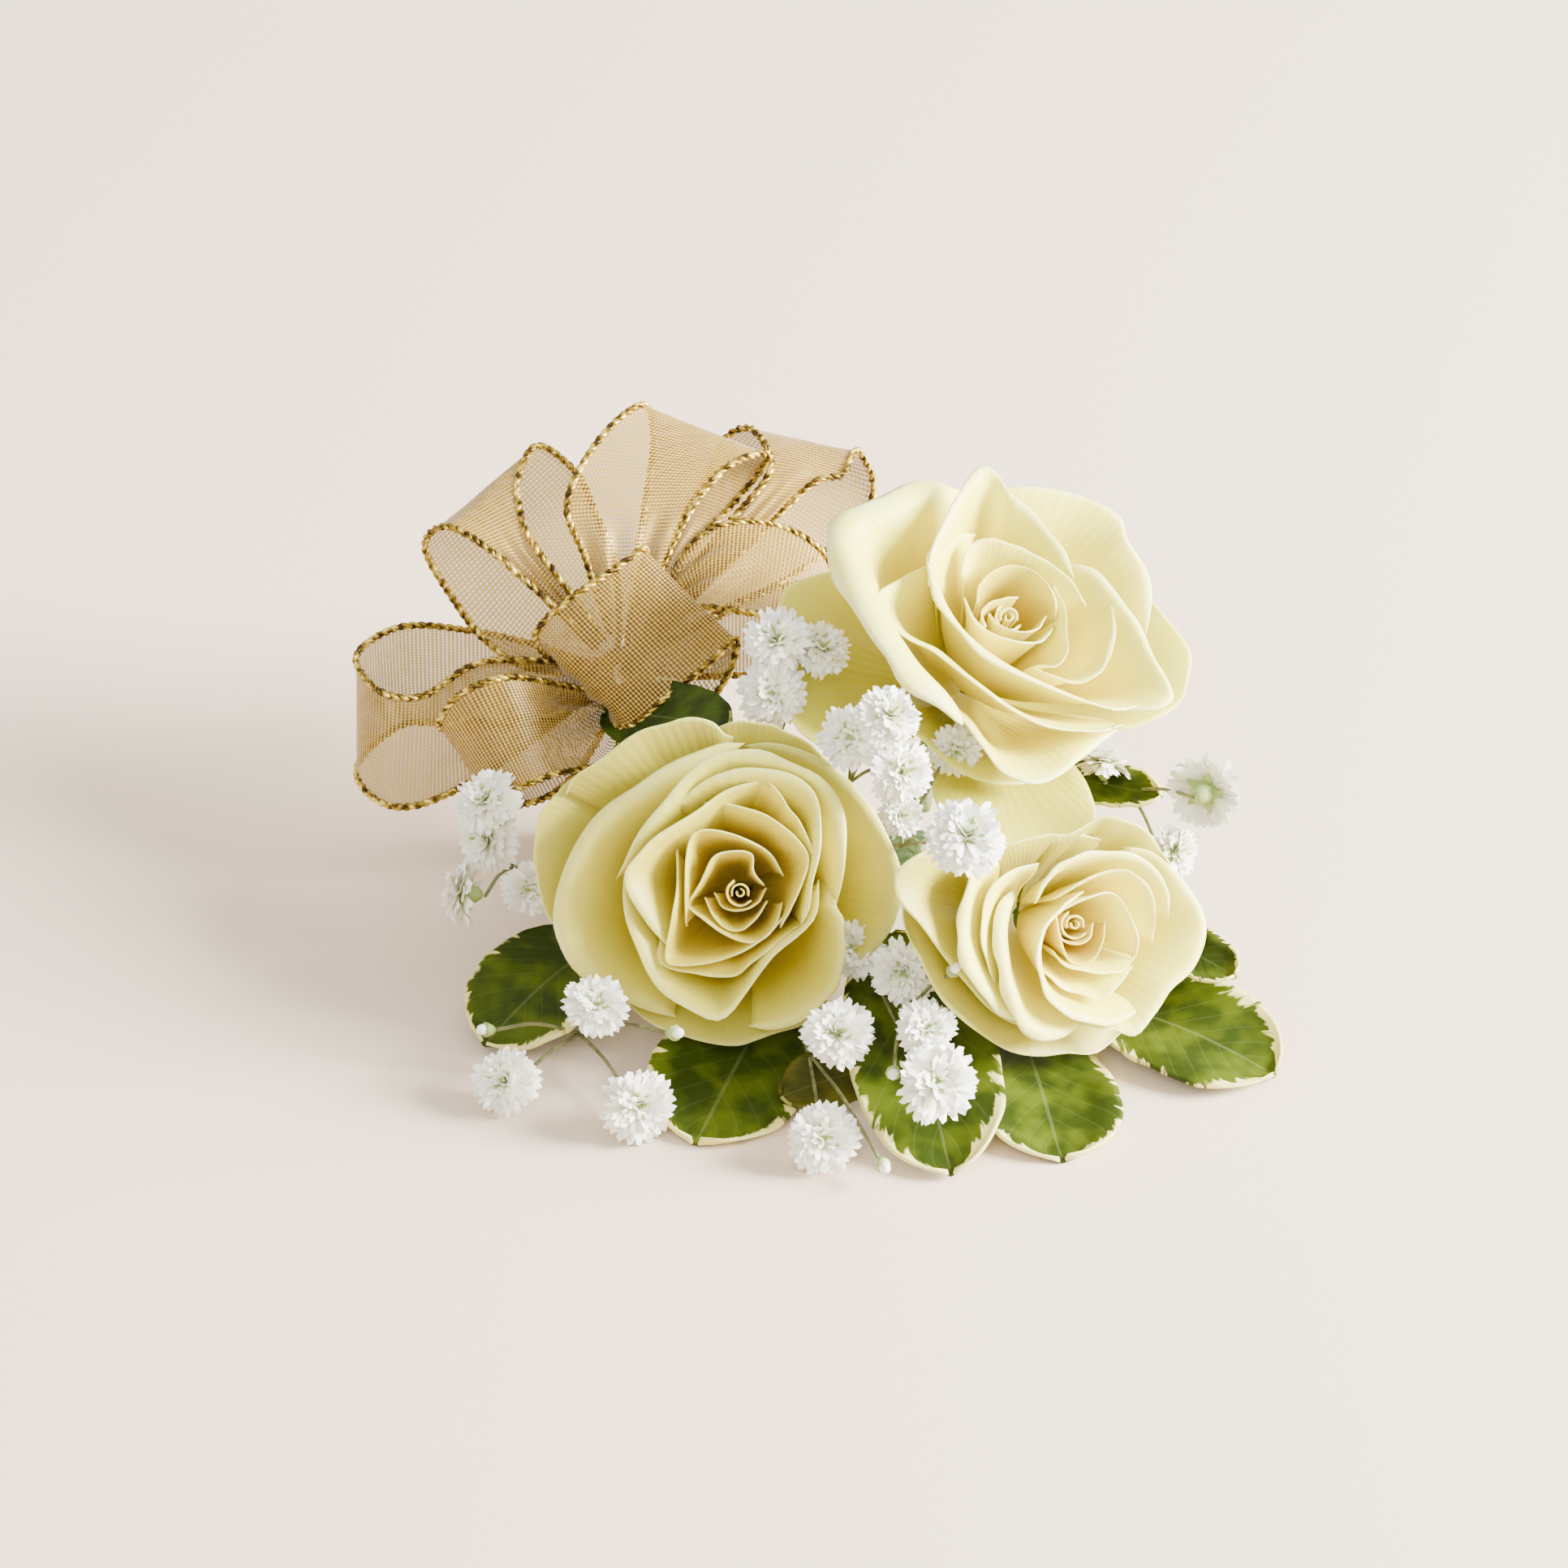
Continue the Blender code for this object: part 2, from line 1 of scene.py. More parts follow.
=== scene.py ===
"""The looks of a rose corsage: three cream spray roses, double baby's breath, variegated leaves and a sheer
gold-edged ribbon bow. Places are in millimetres from the CAD model's own point, and become metres in put().
"""
import math
import random

import bpy
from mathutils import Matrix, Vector, noise


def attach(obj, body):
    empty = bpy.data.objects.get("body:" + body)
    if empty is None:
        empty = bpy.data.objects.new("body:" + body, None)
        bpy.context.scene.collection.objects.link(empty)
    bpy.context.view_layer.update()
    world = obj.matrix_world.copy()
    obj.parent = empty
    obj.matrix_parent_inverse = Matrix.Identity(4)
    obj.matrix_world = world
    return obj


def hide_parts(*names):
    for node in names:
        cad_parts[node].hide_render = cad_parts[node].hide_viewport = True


MM = 0.001
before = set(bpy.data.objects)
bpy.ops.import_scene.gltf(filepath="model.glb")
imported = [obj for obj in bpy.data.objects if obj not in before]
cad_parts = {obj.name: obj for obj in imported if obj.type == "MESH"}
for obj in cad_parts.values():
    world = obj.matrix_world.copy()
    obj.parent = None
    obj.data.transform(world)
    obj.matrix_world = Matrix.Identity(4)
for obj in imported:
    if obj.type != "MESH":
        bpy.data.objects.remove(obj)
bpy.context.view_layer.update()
# The CAD model is placed from this point, which is the middle of the taped stems' underside.
UNDERSIDE = Vector((0.0, 7.3, 0.0))
# How many rows and columns of faces each sheet has.
PETAL_GRID = (26, 36)
LOOP_GRID = (96, 24)
KNOT_GRID = (40, 56)
LEAF_GRID = (44, 24)
PETAL_THICK = 0.22
# How far up a petal its rolled lip starts, as a share of its length.
LIP_START = 0.8
SEPAL_THICK = 0.3
SEPALS = 5
# The hip's outline, from the stalk up to the bloom: its radius and its height over the bloom's base.
HIP_PROFILE = [(1.5, -5.2), (1.7, -4.6), (2.7, -3.8), (3.4, -2.6), (3.6, -1.4), (3.4, -0.3), (3.1, 0.5),
               (2.9, 1.4)]
LEAF_THICK = 0.4
LEAF_WIDEST = 0.6
# A double floret's whorls of petals: how many, how far they lean out in degrees, and how long they are.
WHORLS = [(17, 94, 1.0), (17, 78, 0.98), (15, 62, 0.92), (13, 47, 0.82), (10, 32, 0.68), (6, 18, 0.52)]
# How much further from the bud a petal stands on its right than on its left, which tucks it behind the next.
TUCK = 0.4
BOW = Vector((-20.0, 17.0, 25.0))
RIBBON_WIDTH = 15.9
VIEW_ELEVATION = 35.0
# The organza's threads, and the gold cords at its edges.
WEFT_SPACING = 0.52
WARP_SPACING = 0.45
CORD_RADIUS = 0.29
CORD_TWIST = 2.4
CORD_STEP = 0.38
# The knot: the way it points, its radius and half its width once bunched, and the ribbon's length round it.
KNOT_AXIS = (0.35, -0.75, 0.56)
KNOT_RADIUS = 2.9
KNOT_HALF = 3.0
KNOT_LENGTH = 18.2
KNOT_CORD_STEPS = 48

# Each rose: where its open face is, the way it looks, how deep its base lies under its face, how far above the
# base its petals' outlines are laid out, how large they are drawn, and where its stalk ends.
ROSES = {
    "rose_a": {"face": (-5.3, -28.9, 24.2), "looks": (0.0, -0.82, 0.57), "depth": 25.0, "level": 20.0,
               "drawn": 0.97, "stem_end": (-10.0, 4.0, 11.5)},
    "rose_b": {"face": (29.2, 2.5, 46.3), "looks": (0.30, -0.40, 0.87), "depth": 25.0, "level": 20.0,
               "drawn": 1.0, "stem_end": (17.0, 7.0, 11.5)},
    "rose_c": {"face": (37.2, -34.2, 23.1), "looks": (0.45, -0.75, 0.48), "depth": 22.0, "level": 17.0,
               "drawn": 1.0, "stem_end": (20.5, 1.0, 6.0)},
}
# The rolled petals in each rose's middle: the way each faces, its half width in degrees, its reach, and its
# height over the rose's level.
BUD = [(300, 150, 0.5, -0.6), (90, 115, 1.1, -0.3), (220, 105, 1.7, -0.2)]
# Petals from the heart outwards: the node each stands for ("" for one of the heart's), the height of its rim,
# how far its ends drop, the width of its rolled lip, how far that turns out in degrees, and its rim's outline
# as the viewer sees it: how far right and up of the rose's middle, in mm.
PETALS = {
    "rose_a": [
        ("", 19.2, 0.8, 0.2, 20, [(-3.2, 0), (-2.2, -1.8), (0, -2.3), (2.2, -1.3), (3.2, 0.6)]),
        ("", 20.0, 1.5, 0.3, 10, [(3, 0.8), (1.7, 2.6), (1.5, 4.8), (-0.8, 5.2), (-3.2, 4.5), (-4.4, 2.4),
            (-5.4, 0.4), (-6.4, -1.4)]),
        ("", 19.6, 1.0, 0.3, 20, [(-4.4, -0.6), (-3.4, -3), (-1.6, -4.6), (0.2, -4.7), (2, -3.3), (3.4, -1)]),
        ("", 19.8, 1.2, 0.4, 20, [(-6.8, -1.4), (-5, -3), (-2.6, -4.9), (0.2, -6.2), (2.8, -6), (4.6, -3.8),
            (5.2, -1.2)]),
        ("", 20.4, 2.0, 0.4, 20, [(-6.6, -4.2), (-6.9, -1), (-6.8, 3.6), (-6.2, 6.8), (-4.8, 7.8),
            (-1.6, 7.5), (1.4, 6.4), (4, 4.6), (5.4, 2)]),
        ("", 20.2, 1.4, 0.5, 30, [(-7.8, 5.5), (-7.9, 1), (-8.5, -3), (-9.4, -8.2), (-7.6, -9.1),
            (-3.6, -8.8), (0.4, -7.4), (3.4, -5.4), (5.6, -2.8)]),
        ("", 19.6, 1.4, 0.6, 40, [(-10, -5.6), (-9.8, -8.8), (-5.6, -10.1), (-1, -10.4), (2, -8.4),
            (5.6, -5.6), (8.8, -3)]),
        ("petal_2", 21.0, 1.8, 0.6, 30, [(-4.6, 11.2), (-0.6, 10.9), (3.6, 9.4), (7, 6.9), (8.6, 4.4),
            (7.8, 1), (6.4, -2), (5, -4.4)]),
        ("", 21.2, 1.4, 0.5, 20, [(1.6, 14), (4.2, 13.2), (6, 10.8), (7.6, 8.4), (9, 5.6), (9.4, 2.6)]),
        ("petal_1", 21.0, 2.0, 0.8, 50, [(-8.6, -7), (-11.6, -3.4), (-14.2, 1.6), (-12, 5.4), (-8, 8.4),
            (-4, 11.2), (-0.4, 13.2), (3.6, 13.9), (7, 13.4)]),
        ("petal_3", 21.4, 2.0, 1.1, 60, [(-8, 10.4), (-4.8, 13.4), (-0.6, 15), (3.6, 15), (7.4, 13.8),
            (9.6, 11.4), (9.9, 7.6), (9.6, 3.4), (8.8, -1), (7.6, -4.2)]),
        ("petal_4", 20.4, 2.2, 1.0, 60, [(-14.2, 3), (-14.3, -1.6), (-13.2, -6.4), (-11, -10.6),
            (-7.6, -13.6), (-2.8, -15.7), (0.6, -12.6), (3, -9.6), (5.4, -6.8), (9.4, -3), (9.8, 1.6)]),
        ("petal_5", 20.8, 2.2, 1.2, 70, [(-15.4, 1.6), (-13.2, 5.8), (-10, 10.2), (-6.6, 14.4), (-2.4, 17),
            (2.4, 17.2), (7, 15.8), (10.6, 13), (12.6, 9), (13, 4), (11.9, -1.4)]),
        ("petal_6", 18.6, 2.0, 1.1, 70, [(12, 3), (11.6, -1), (12.8, -3.6), (12.9, -7.4), (11.8, -11.4),
            (9.2, -14.6), (5, -16.6), (1, -16.8)]),
        ("petal_7", 17.6, 2.4, 1.6, 90, [(-8, -15.6), (-13, -13.8), (-17.4, -11.4), (-20.9, -8.2),
            (-22.4, -4), (-21.8, 1), (-20, 5.2), (-16.8, 9.4), (-12.6, 12.6), (-8, 15.4), (-3, 17.8),
            (0.5, 18.4)]),
        ("petal_9", 16.4, 2.4, 1.1, 60, [(0, 18.2), (4.4, 18.4), (8.4, 17.2), (12.6, 14), (16.6, 10),
            (19, 5.6), (19.9, 1), (19.2, -3), (17.4, -6.4), (14, -9)]),
        ("petal_10", 15.6, 2.4, 0.7, 40, [(-22, 12), (-20.6, 14.4), (-16.4, 17.4), (-12.4, 20), (-8, 21.5),
            (-3.8, 21.4), (-2, 19.8), (0, 19)]),
        ("petal_8", 15.0, 2.2, 0.6, 40, [(-15.5, -12.6), (-12.4, -15.6), (-8.4, -17.6), (-4, -18.9),
            (0, -18.9), (3.6, -17.8), (7.8, -16.6), (11.4, -13.6)]),
        ("petal_9", 14.8, 2.0, 0.6, 40, [(-4.6, 20.2), (-1, 21.2), (2.6, 21.2), (6.4, 20), (9.8, 17.6),
            (13.4, 13.6)]),
        ("petal_10", 13.6, 2.4, 0.6, 40, [(-19.6, 15), (-22.8, 12.8), (-25.2, 9.6), (-25.9, 5), (-25.5, 0.4),
            (-24, -3.6), (-20.4, -6.6)]),
    ],
    "rose_b": [
        ("petal_1", 20.4, 1.0, 0.4, 40, [(-2.6, 0.4), (-1.8, -1), (0.8, -2.1), (3.4, -1.7), (4.6, 0.2)]),
        ("", 20.6, 1.0, 0.4, 30, [(1.2, 2.4), (-0.6, 2.3), (-2.6, 1.6), (-3.6, 0.2), (-3, -1.4)]),
        ("petal_2", 21.4, 2.0, 0.4, 20, [(-4, 1.5), (-3.8, 3.8), (-1.8, 5.8), (1, 6.4), (3.8, 5.2),
            (5.6, 2.6), (5.8, -0.6)]),
        ("", 20.8, 1.5, 0.6, 50, [(-5.5, 2.4), (-4.6, -0.6), (-2.2, -2.6), (1.5, -3.6), (4, -3.2),
            (5.6, -1)]),
        ("", 21.0, 1.2, 0.4, 40, [(5.4, 4.2), (6.8, 1.5), (7.1, -1.6), (7, -4.6), (5.6, -6.2), (3, -6.2)]),
        ("", 21.2, 1.6, 0.7, 50, [(2.5, -6.5), (5, -7.6), (8.6, -8.4), (11.4, -6.6), (12.8, -3.4), (13, 0),
            (12, 3)]),
        ("", 22.0, 2.0, 0.6, 40, [(-6, 5), (-5, 8.4), (-2.6, 9.6), (0.4, 8.8), (4, 7.2), (7.6, 4.6),
            (9.6, 1.4)]),
        ("petal_3", 21.8, 2.5, 1.4, 70, [(-3.9, 10.2), (-6.6, 10), (-9.2, 8), (-9.9, 5), (-9, 1.4),
            (-6.6, -2.4), (-3, -5.6), (2, -8.2), (8, -10.2), (13, -11.2), (17, -10.4)]),
        ("petal_3", 20.4, 2.5, 0.9, 50, [(-9.8, 6.5), (-13.3, 4.5), (-16.4, 2.4), (-15.4, -0.6), (-12.6, -3),
            (-9.2, -4.6), (-4.8, -8.2), (0, -11.7), (4.4, -13.6), (9.7, -14.2), (14, -13.2)]),
        ("petal_5", 21.0, 2.0, 1.0, 60, [(7.4, 6.6), (10.4, 5.8), (13, 3), (15.4, -0.4), (17.6, -4.6),
            (19.9, -9.6), (18, -11.2), (13.5, -11.6)]),
        ("petal_4", 23.5, 3.0, 1.4, 50, [(-10, 3.5), (-9.8, 7.5), (-7.8, 12), (-5.6, 15.8), (-3.4, 18.3),
            (-1.4, 17.6), (0.2, 14.8), (3.4, 12.2), (6.4, 8.6), (8.2, 4.8)]),
        ("petal_6", 21.0, 3.0, 2.6, 100, [(-5, 15.5), (-9.4, 16.6), (-13.4, 15.2), (-17.4, 13.4), (-20, 12),
            (-21, 9), (-19.8, 5.2), (-18.2, 1), (-15.4, -4), (-12.4, -7.5), (-8.8, -10.6), (-5.8, -13)]),
        ("petal_8", 19.6, 3.0, 1.0, 50, [(-3.5, 15.5), (0.5, 16.3), (5.5, 16.2), (10.4, 14.9), (14.2, 12.8),
            (15.4, 9.4), (17.4, 5.4), (18, 1.6), (17, -2.6)]),
        ("petal_7", 17.5, 3.0, 1.0, 60, [(-13, -6.8), (-9.6, -10.2), (-5.8, -13.2), (-3.6, -16.4),
            (-1, -19.2), (2.4, -20.2), (6, -19.4), (8.4, -17.2), (12, -14.6), (15, -12.6)]),
        ("petal_10", 8.5, 2.0, 0.8, 40, [(-9.6, -17.5), (-9.4, -22), (-6, -26.6), (0, -29.4), (6.2, -28.8),
            (10.6, -25.6), (10, -21), (8, -17.5)]),
        ("petal_9", 16.0, 2.5, 0.8, 40, [(16.5, 3.5), (19.6, 1), (22, -2.6), (23, -6), (21.8, -9.8),
            (18.6, -12.2), (13.5, -13.9), (9.5, -13.4)]),
        ("petal_10", 9.0, 2.5, 0.9, 40, [(-18, 7), (-26.2, 4.4), (-28.4, 1.4), (-29.2, -4), (-28.2, -10),
            (-25, -14.6), (-19.5, -16.6), (-13.6, -15.6), (-8.6, -13)]),
        ("petal_10", 12.0, 2.0, 0.8, 50, [(-16, -9.4), (-13.4, -12.4), (-10.4, -15.4), (-6.4, -18.6),
            (-2, -20.4), (4, -20.4)]),
    ],
    "rose_c": [
        ("", 17.2, 0.6, 0.2, 20, [(-2.2, -0.4), (-1.6, -1.8), (0.2, -2.4), (1.8, -1.6), (2.2, 0.2)]),
        ("", 17.4, 1.2, 0.4, 30, [(-2.4, 1.4), (-2, -1.6), (-1, -4.2), (0.6, -4.8), (2.4, -4), (3.5, -2),
            (3.7, 0.4)]),
        ("", 18.4, 1.6, 0.4, 30, [(-3, 0.6), (-2, 1.7), (0.4, 3), (3.4, 3.9), (5, 3.5), (6.6, 1.2),
            (7.6, -1.6), (7.4, -4)]),
        ("", 17.6, 1.2, 0.4, 40, [(-2.6, -3.4), (-1.4, -4.9), (0.8, -5.6), (3.4, -6), (6, -5.6),
            (7.4, -3.8)]),
        ("petal_2", 17.4, 1.5, 0.5, 40, [(-4, -5.4), (-2, -7.4), (0.6, -8.4), (3.4, -8.9), (5.4, -7.2),
            (7.2, -5)]),
        ("", 18.6, 2.0, 0.6, 40, [(-2.6, 3.2), (0.4, 5.2), (4, 6.6), (6.6, 6.4), (9, 4.4), (9.8, 1),
            (9.4, -2.4)]),
        ("petal_1", 18.2, 2.0, 1.0, 60, [(1, 4), (-1.8, 2.4), (-4.2, 0), (-5, -3.4), (-4.2, -7), (-2.4, -9.8),
            (1, -11.4), (5, -11.8), (8.5, -10)]),
        ("petal_3", 18.6, 2.5, 0.8, 60, [(-5, 2.6), (-4, 5.4), (-1.6, 7.6), (2, 8.8), (6, 8.6), (9.4, 7),
            (11.2, 4), (11.6, 0.5)]),
        ("petal_5", 17.6, 2.5, 1.0, 60, [(6, 9.3), (9.6, 8.4), (13, 5.4), (15.6, 1.6), (16, -2), (14.4, -5.2),
            (11.6, -7.8), (9.8, -10.6), (7.4, -13.2), (4.6, -12.8), (0.5, -12)]),
        ("petal_4", 17.0, 2.5, 1.1, 90, [(-7.4, 4), (-8.8, 2), (-9.4, -1.4), (-8.8, -5.4), (-7.8, -8.8),
            (-6.6, -11.6), (-4, -13.4), (-1.4, -13), (1, -11.8)]),
        ("petal_4", 16.8, 2.0, 0.6, 50, [(-4.4, 7.4), (-8, 6.4), (-10.6, 4), (-11.4, 0.4), (-11, -3.6),
            (-9.6, -7.4)]),
        ("petal_4", 16.4, 2.5, 1.0, 80, [(-9, 8.6), (-12.2, 7.2), (-13.4, 3.4), (-14, -0.8), (-13.4, -4.6),
            (-11.4, -8), (-8.4, -10.6), (-5.4, -12)]),
        ("petal_7", 15.4, 2.0, 0.6, 40, [(-4, 9.6), (-0.6, 10.9), (3.4, 12.9), (6.6, 12.4), (9.6, 10.4),
            (12, 7)]),
        ("petal_7", 15.0, 2.0, 0.6, 40, [(-12, 7.5), (-8.6, 9.6), (-4.6, 10.6), (0, 10.8), (4, 10)]),
        ("petal_6", 14.6, 2.5, 0.7, 50, [(-13.5, 9.6), (-18, 9), (-21.3, 6.4), (-21.2, 3.4), (-18.4, 0),
            (-15.4, -4), (-12.4, -7.8), (-9, -11), (-5.5, -12.6)]),
        ("petal_8", 13.0, 2.5, 0.6, 40, [(-20.5, 4), (-20.6, 0), (-18.6, -4.4), (-15.8, -8.8), (-12.4, -12.4),
            (-8.6, -14.9), (-4.6, -15.7), (-0.6, -15.5), (3, -15.7), (6.4, -13)]),
    ],
}
# Each ribbon loop's two edges, out from the knot, over the fold and back: how far right of the bow's middle,
# how far up in the plane that faces the viewer, and how far toward the viewer, in mm.
LOOPS = {
    "loop_left": {
        "left": [(-3, 1, -2), (-12, 4, -8), (-20, 5.8, -10), (-29, 6.3, -9.5), (-34.4, 2.4, -4),
            (-31, -2.1, 1.5), (-25.5, -2.7, 1), (-18, 1.6, 0), (-5, 1.5, -0.5)],
        "right": [(-3, -2, -2), (-12, -5, -8), (-20, -6.6, -10), (-28.5, -6.2, -9), (-34, -11.5, -3),
            (-31.5, -15.8, 1.5), (-26, -16.5, 2), (-17, -12, 0), (-5, -3, -1)]},
    "loop_upper_left": {
        "left": [(-3, 1, -1), (-12, 0.8, -3), (-18, 4.4, -3.5), (-22.7, 10.6, -3), (-25.4, 16.1, -1),
            (-22.7, 18.6, 2.5), (-18, 16.4, 4), (-12.5, 11.2, 4), (-4, 3, 2)],
        "right": [(-1, 3, -3), (-1.5, 14, -7), (-4.2, 21, -8), (-6.6, 26, -7), (-11.5, 29.2, -4),
            (-13.7, 24.5, -1), (-12.8, 18.5, 1), (-9.5, 13, 2), (-3, 4, 1.5)]},
    "loop_top": {
        "left": [(0, 3, -3), (1.2, 15, -7), (2.4, 23, -8.5), (3.3, 30, -8), (2, 34.4, -4), (-3.5, 29.5, 0.5),
            (-7.3, 21.5, 3), (-5, 14.7, 3), (-2, 5, 1)],
        "right": [(1, 3, -3), (7.2, 14.7, -7), (12, 20.4, -9), (16, 25, -10), (17.9, 28.4, -7),
            (13.5, 26.8, -2.5), (9.2, 22.3, 0), (5.5, 15.5, 0.5), (1, 5, 1)]},
    "loop_right_back": {
        "left": [(1, 3, -5), (6, 18, -12), (10, 26, -16), (12.5, 31, -17), (15.6, 31.9, -15),
            (18.2, 28.5, -11), (17.5, 24.8, -9), (12, 18, -7.5), (2, 4, -4)],
        "right": [(1, 2, -5), (14, 9, -14), (25, 16, -19), (31.5, 23.5, -20), (29.5, 29.4, -16),
            (27.5, 26, -12), (23.5, 24.5, -10), (14, 15, -9), (2, 3, -4)]},
    "loop_right": {
        "left": [(1, 2, -2), (8, 6, -6), (15, 10, -10), (22, 12, -12), (27, 10.5, -10), (24.6, 16.2, -7),
            (17, 19.6, -5), (9, 17, -3), (3, 5, -1)],
        "right": [(1, 1, -2), (8, 0, -3), (15, 0, -4), (20.5, 0, -3), (24, 1.5, 0), (22, 6, 3.5),
            (15.8, 7.6, 4.5), (8.5, 8, 4), (2.5, 3, 1)]},
    "loop_middle": {
        "left": [(0, 1, 1), (1, 5, 4), (1.5, 9, 6), (2.2, 13, 7), (2.4, 15.4, 8.5), (-1.5, 12.6, 11),
            (-6.2, 9.5, 11.5), (-11, 5.2, 9), (-9.5, 2.5, 5), (-5, 1, 2.5)],
        "right": [(1, -2, 1), (4.8, -5.6, 4), (9, -4.8, 6), (12.8, -0.6, 7), (14, 4.2, 8.5), (10.4, 0.9, 11),
            (5.5, -3, 11.5), (1, -6.6, 9), (-1, -5.8, 5.5), (-1, -2, 2.5)]},
    "loop_lower_left": {
        "left": [(-2, -2, -1), (-8, -5, 1.2), (-13.3, -6.4, 2.5), (-19, -5.8, 4), (-23.2, -6.8, 7),
            (-20.5, -2.8, 11), (-14.5, -0.6, 11), (-8.5, -1.6, 4.5), (-3, -3, 0.5)],
        "right": [(-1, -4, -1), (-5, -11, 0.5), (-9, -15, 2.5), (-13, -16.5, 5.5), (-16.5, -16.5, 9),
            (-13.5, -14.6, 12.5), (-9, -12.8, 11), (-2.4, -11, 4.5), (0.4, -5.2, 0.5)]},
}
# Each leaf: where it starts and ends, its width, the way its face looks, how much it arches, and its finish.
LEAVES = {
    "leaf_left": ((-21.0, -11.0, 5.0), (-36.6, -29.0, 1.6), 16.0, (-0.3, -0.5, 0.8), 2.0, "variegated"),
    "leaf_front": ((-1.0, -19.0, 1.6), (-10.6, -47.0, 0.5), 19.5, (0.1, 0.0, 1.0), 0.8, "variegated"),
    "leaf_olive": ((14.5, -35.0, 3.6), (-0.4, -39.4, 1.6), 9.0, (0.0, -0.2, 1.0), 0.6, "olive"),
    # leaf_front_right's root is drawn high up behind the florets, where its dark green stands in for the shade
    # in the gap between roses A and C.
    "leaf_front_right": ((13.2, -16.0, 9.0), (19.8, -53.6, 1.2), 18.0, (-0.1, 0.0, 1.0), 1.2, "variegated"),
    "leaf_under_rose": ((29.0, -24.0, 1.0), (33.2, -50.3, 0.4), 18.0, (0.1, 0.0, 1.0), 0.6, "variegated"),
    "leaf_right": ((38.0, -20.0, 1.6), (59.6, -34.4, 1.2), 17.0, (0.1, -0.2, 1.0), 1.6, "variegated"),
    "leaf_right_small": ((46.0, -14.0, 6.0), (55.2, -23.4, 7.6), 7.5, (0.0, -0.4, 1.0), 1.0, "variegated"),
    "leaf_behind_rose": ((30.0, 8.0, 15.6), (46.8, -3.0, 20.2), 6.6, (0.5, -0.6, 0.6), 1.2, "variegated"),
    # leaf_middle is a real dark green leaf, but its blade reaches back behind the bow's lower loops as a dark
    # sheet standing in for the shade under the knot.
    "leaf_middle": ((-22.5, 12.5, 22.1), (-6.6, -5.5, 32.2), 9.6, (0.0, -0.6, 0.8), 1.0, "green"),
}
# Each sprig: its main stem's points from the tie, its florets (where, radius, the way it faces), and its buds.
SPRIGS = {
    "breath_top": {
        "stem": [(-4.0, 4.5, 12.0), (-1.5, 3.0, 22.0), (0.5, 0.5, 31.0)],
        "florets": [((-1.2, -0.4, 42.8), 4.6, (-0.3, -0.4, 0.9)), ((5.2, 1.0, 40.4), 4.0, (0.4, -0.4, 0.8)),
            ((-1.6, -5.0, 37.0), 4.7, (-0.1, -0.8, 0.5))],
        "buds": []},
    "breath_middle": {
        "stem": [(2.0, 3.0, 12.0), (4.0, -4.0, 20.0), (8.0, -9.0, 26.5)],
        "florets": [((13.0, -16.5, 42.4), 4.3, (0.3, -0.4, 0.9)), ((7.6, -14.0, 36.6), 4.4,
            (-0.2, -0.8, 0.5)), ((15.0, -19.0, 35.2), 4.5, (0.5, -0.7, 0.5))],
        "buds": []},
    "breath_right": {
        "stem": [(7.0, 3.0, 11.0), (11.0, -8.0, 17.0), (14.5, -16.0, 22.0)],
        "florets": [((14.4, -15.3, 26.0), 3.0, (0.2, -0.8, 0.5)), ((21.6, -36.2, 38.8), 5.3,
            (0.1, -0.5, 0.9)), ((21.0, -8.0, 30.0), 3.8, (0.0, -0.9, 0.2))],
        "buds": [((17.0, -22.0, 26.0), 1.3)]},
    "breath_left": {
        "stem": [(-18.0, 6.0, 4.0), (-28.0, -1.0, 5.0), (-34.0, -1.0, 8.0)],
        "florets": [((-37.5, -4.4, 21.7), 4.7, (-0.4, -0.3, 0.9)), ((-37.6, -5.5, 15.3), 4.4,
            (-0.5, -0.7, 0.5)), ((-41.2, -12.5, 12.8), 4.4, (-0.8, 0.1, 0.1)), ((-31.5, -11.0, 11.5), 3.6,
            (0.2, -0.9, 0.4))],
        "buds": []},
    "breath_front_left": {
        "stem": [(-14.0, 2.0, 2.5), (-20.0, -15.0, 2.0), (-25.0, -28.0, 2.4)],
        "florets": [((-22.5, -34.5, 12.2), 4.3, (0.1, -0.6, 0.8)), ((-34.3, -40.0, 4.8), 4.6,
            (-0.4, -0.6, 0.7)), ((-17.0, -45.8, 4.9), 4.8, (0.2, -0.8, 0.5))],
        "buds": [((-36.0, -33.0, 6.8), 1.2), ((-13.2, -37.0, 9.4), 1.3)]},
    "breath_front_middle": {
        "stem": [(2.0, -1.0, 1.6), (1.0, -20.0, 3.2), (3.0, -34.0, 4.0)],
        "florets": [((6.5, -41.0, 12.9), 4.7, (0.0, -0.6, 0.8)), ((4.9, -51.5, 4.8), 4.7, (0.1, -0.8, 0.6))],
        "buds": [((11.7, -54.5, 3.2), 1.2)]},
    "breath_front_right": {
        "stem": [(8.0, -1.0, 2.0), (12.0, -20.0, 5.0), (14.0, -32.0, 6.0)],
        "florets": [((18.5, -49.0, 11.6), 5.3, (0.2, -0.7, 0.7)), ((14.0, -31.0, 13.4), 4.5,
            (-0.2, -0.9, 0.3)), ((17.4, -40.8, 13.6), 4.0, (0.2, -0.6, 0.8)), ((9.0, -24.5, 12.6), 4.2,
            (0.2, -0.8, 0.6))],
        "buds": [((13.0, -45.0, 9.6), 1.2), ((20.2, -36.5, 18.4), 1.2)]},
    "breath_behind": {
        "stem": [(22.0, 8.0, 10.0), (34.0, 6.0, 14.0), (43.0, 2.0, 17.5)],
        "florets": [((40.2, 3.0, 22.5), 3.7, (0.1, 0.6, 0.8)), ((52.6, -9.0, 25.8), 5.0, (0.45, 0.75, -0.25)),
            ((48.8, -14.0, 19.6), 3.8, (0.6, -0.5, 0.3))],
        "buds": []},
}
TWIG_RADIUS = 0.42
FLORET_STALK_RADIUS = 0.24
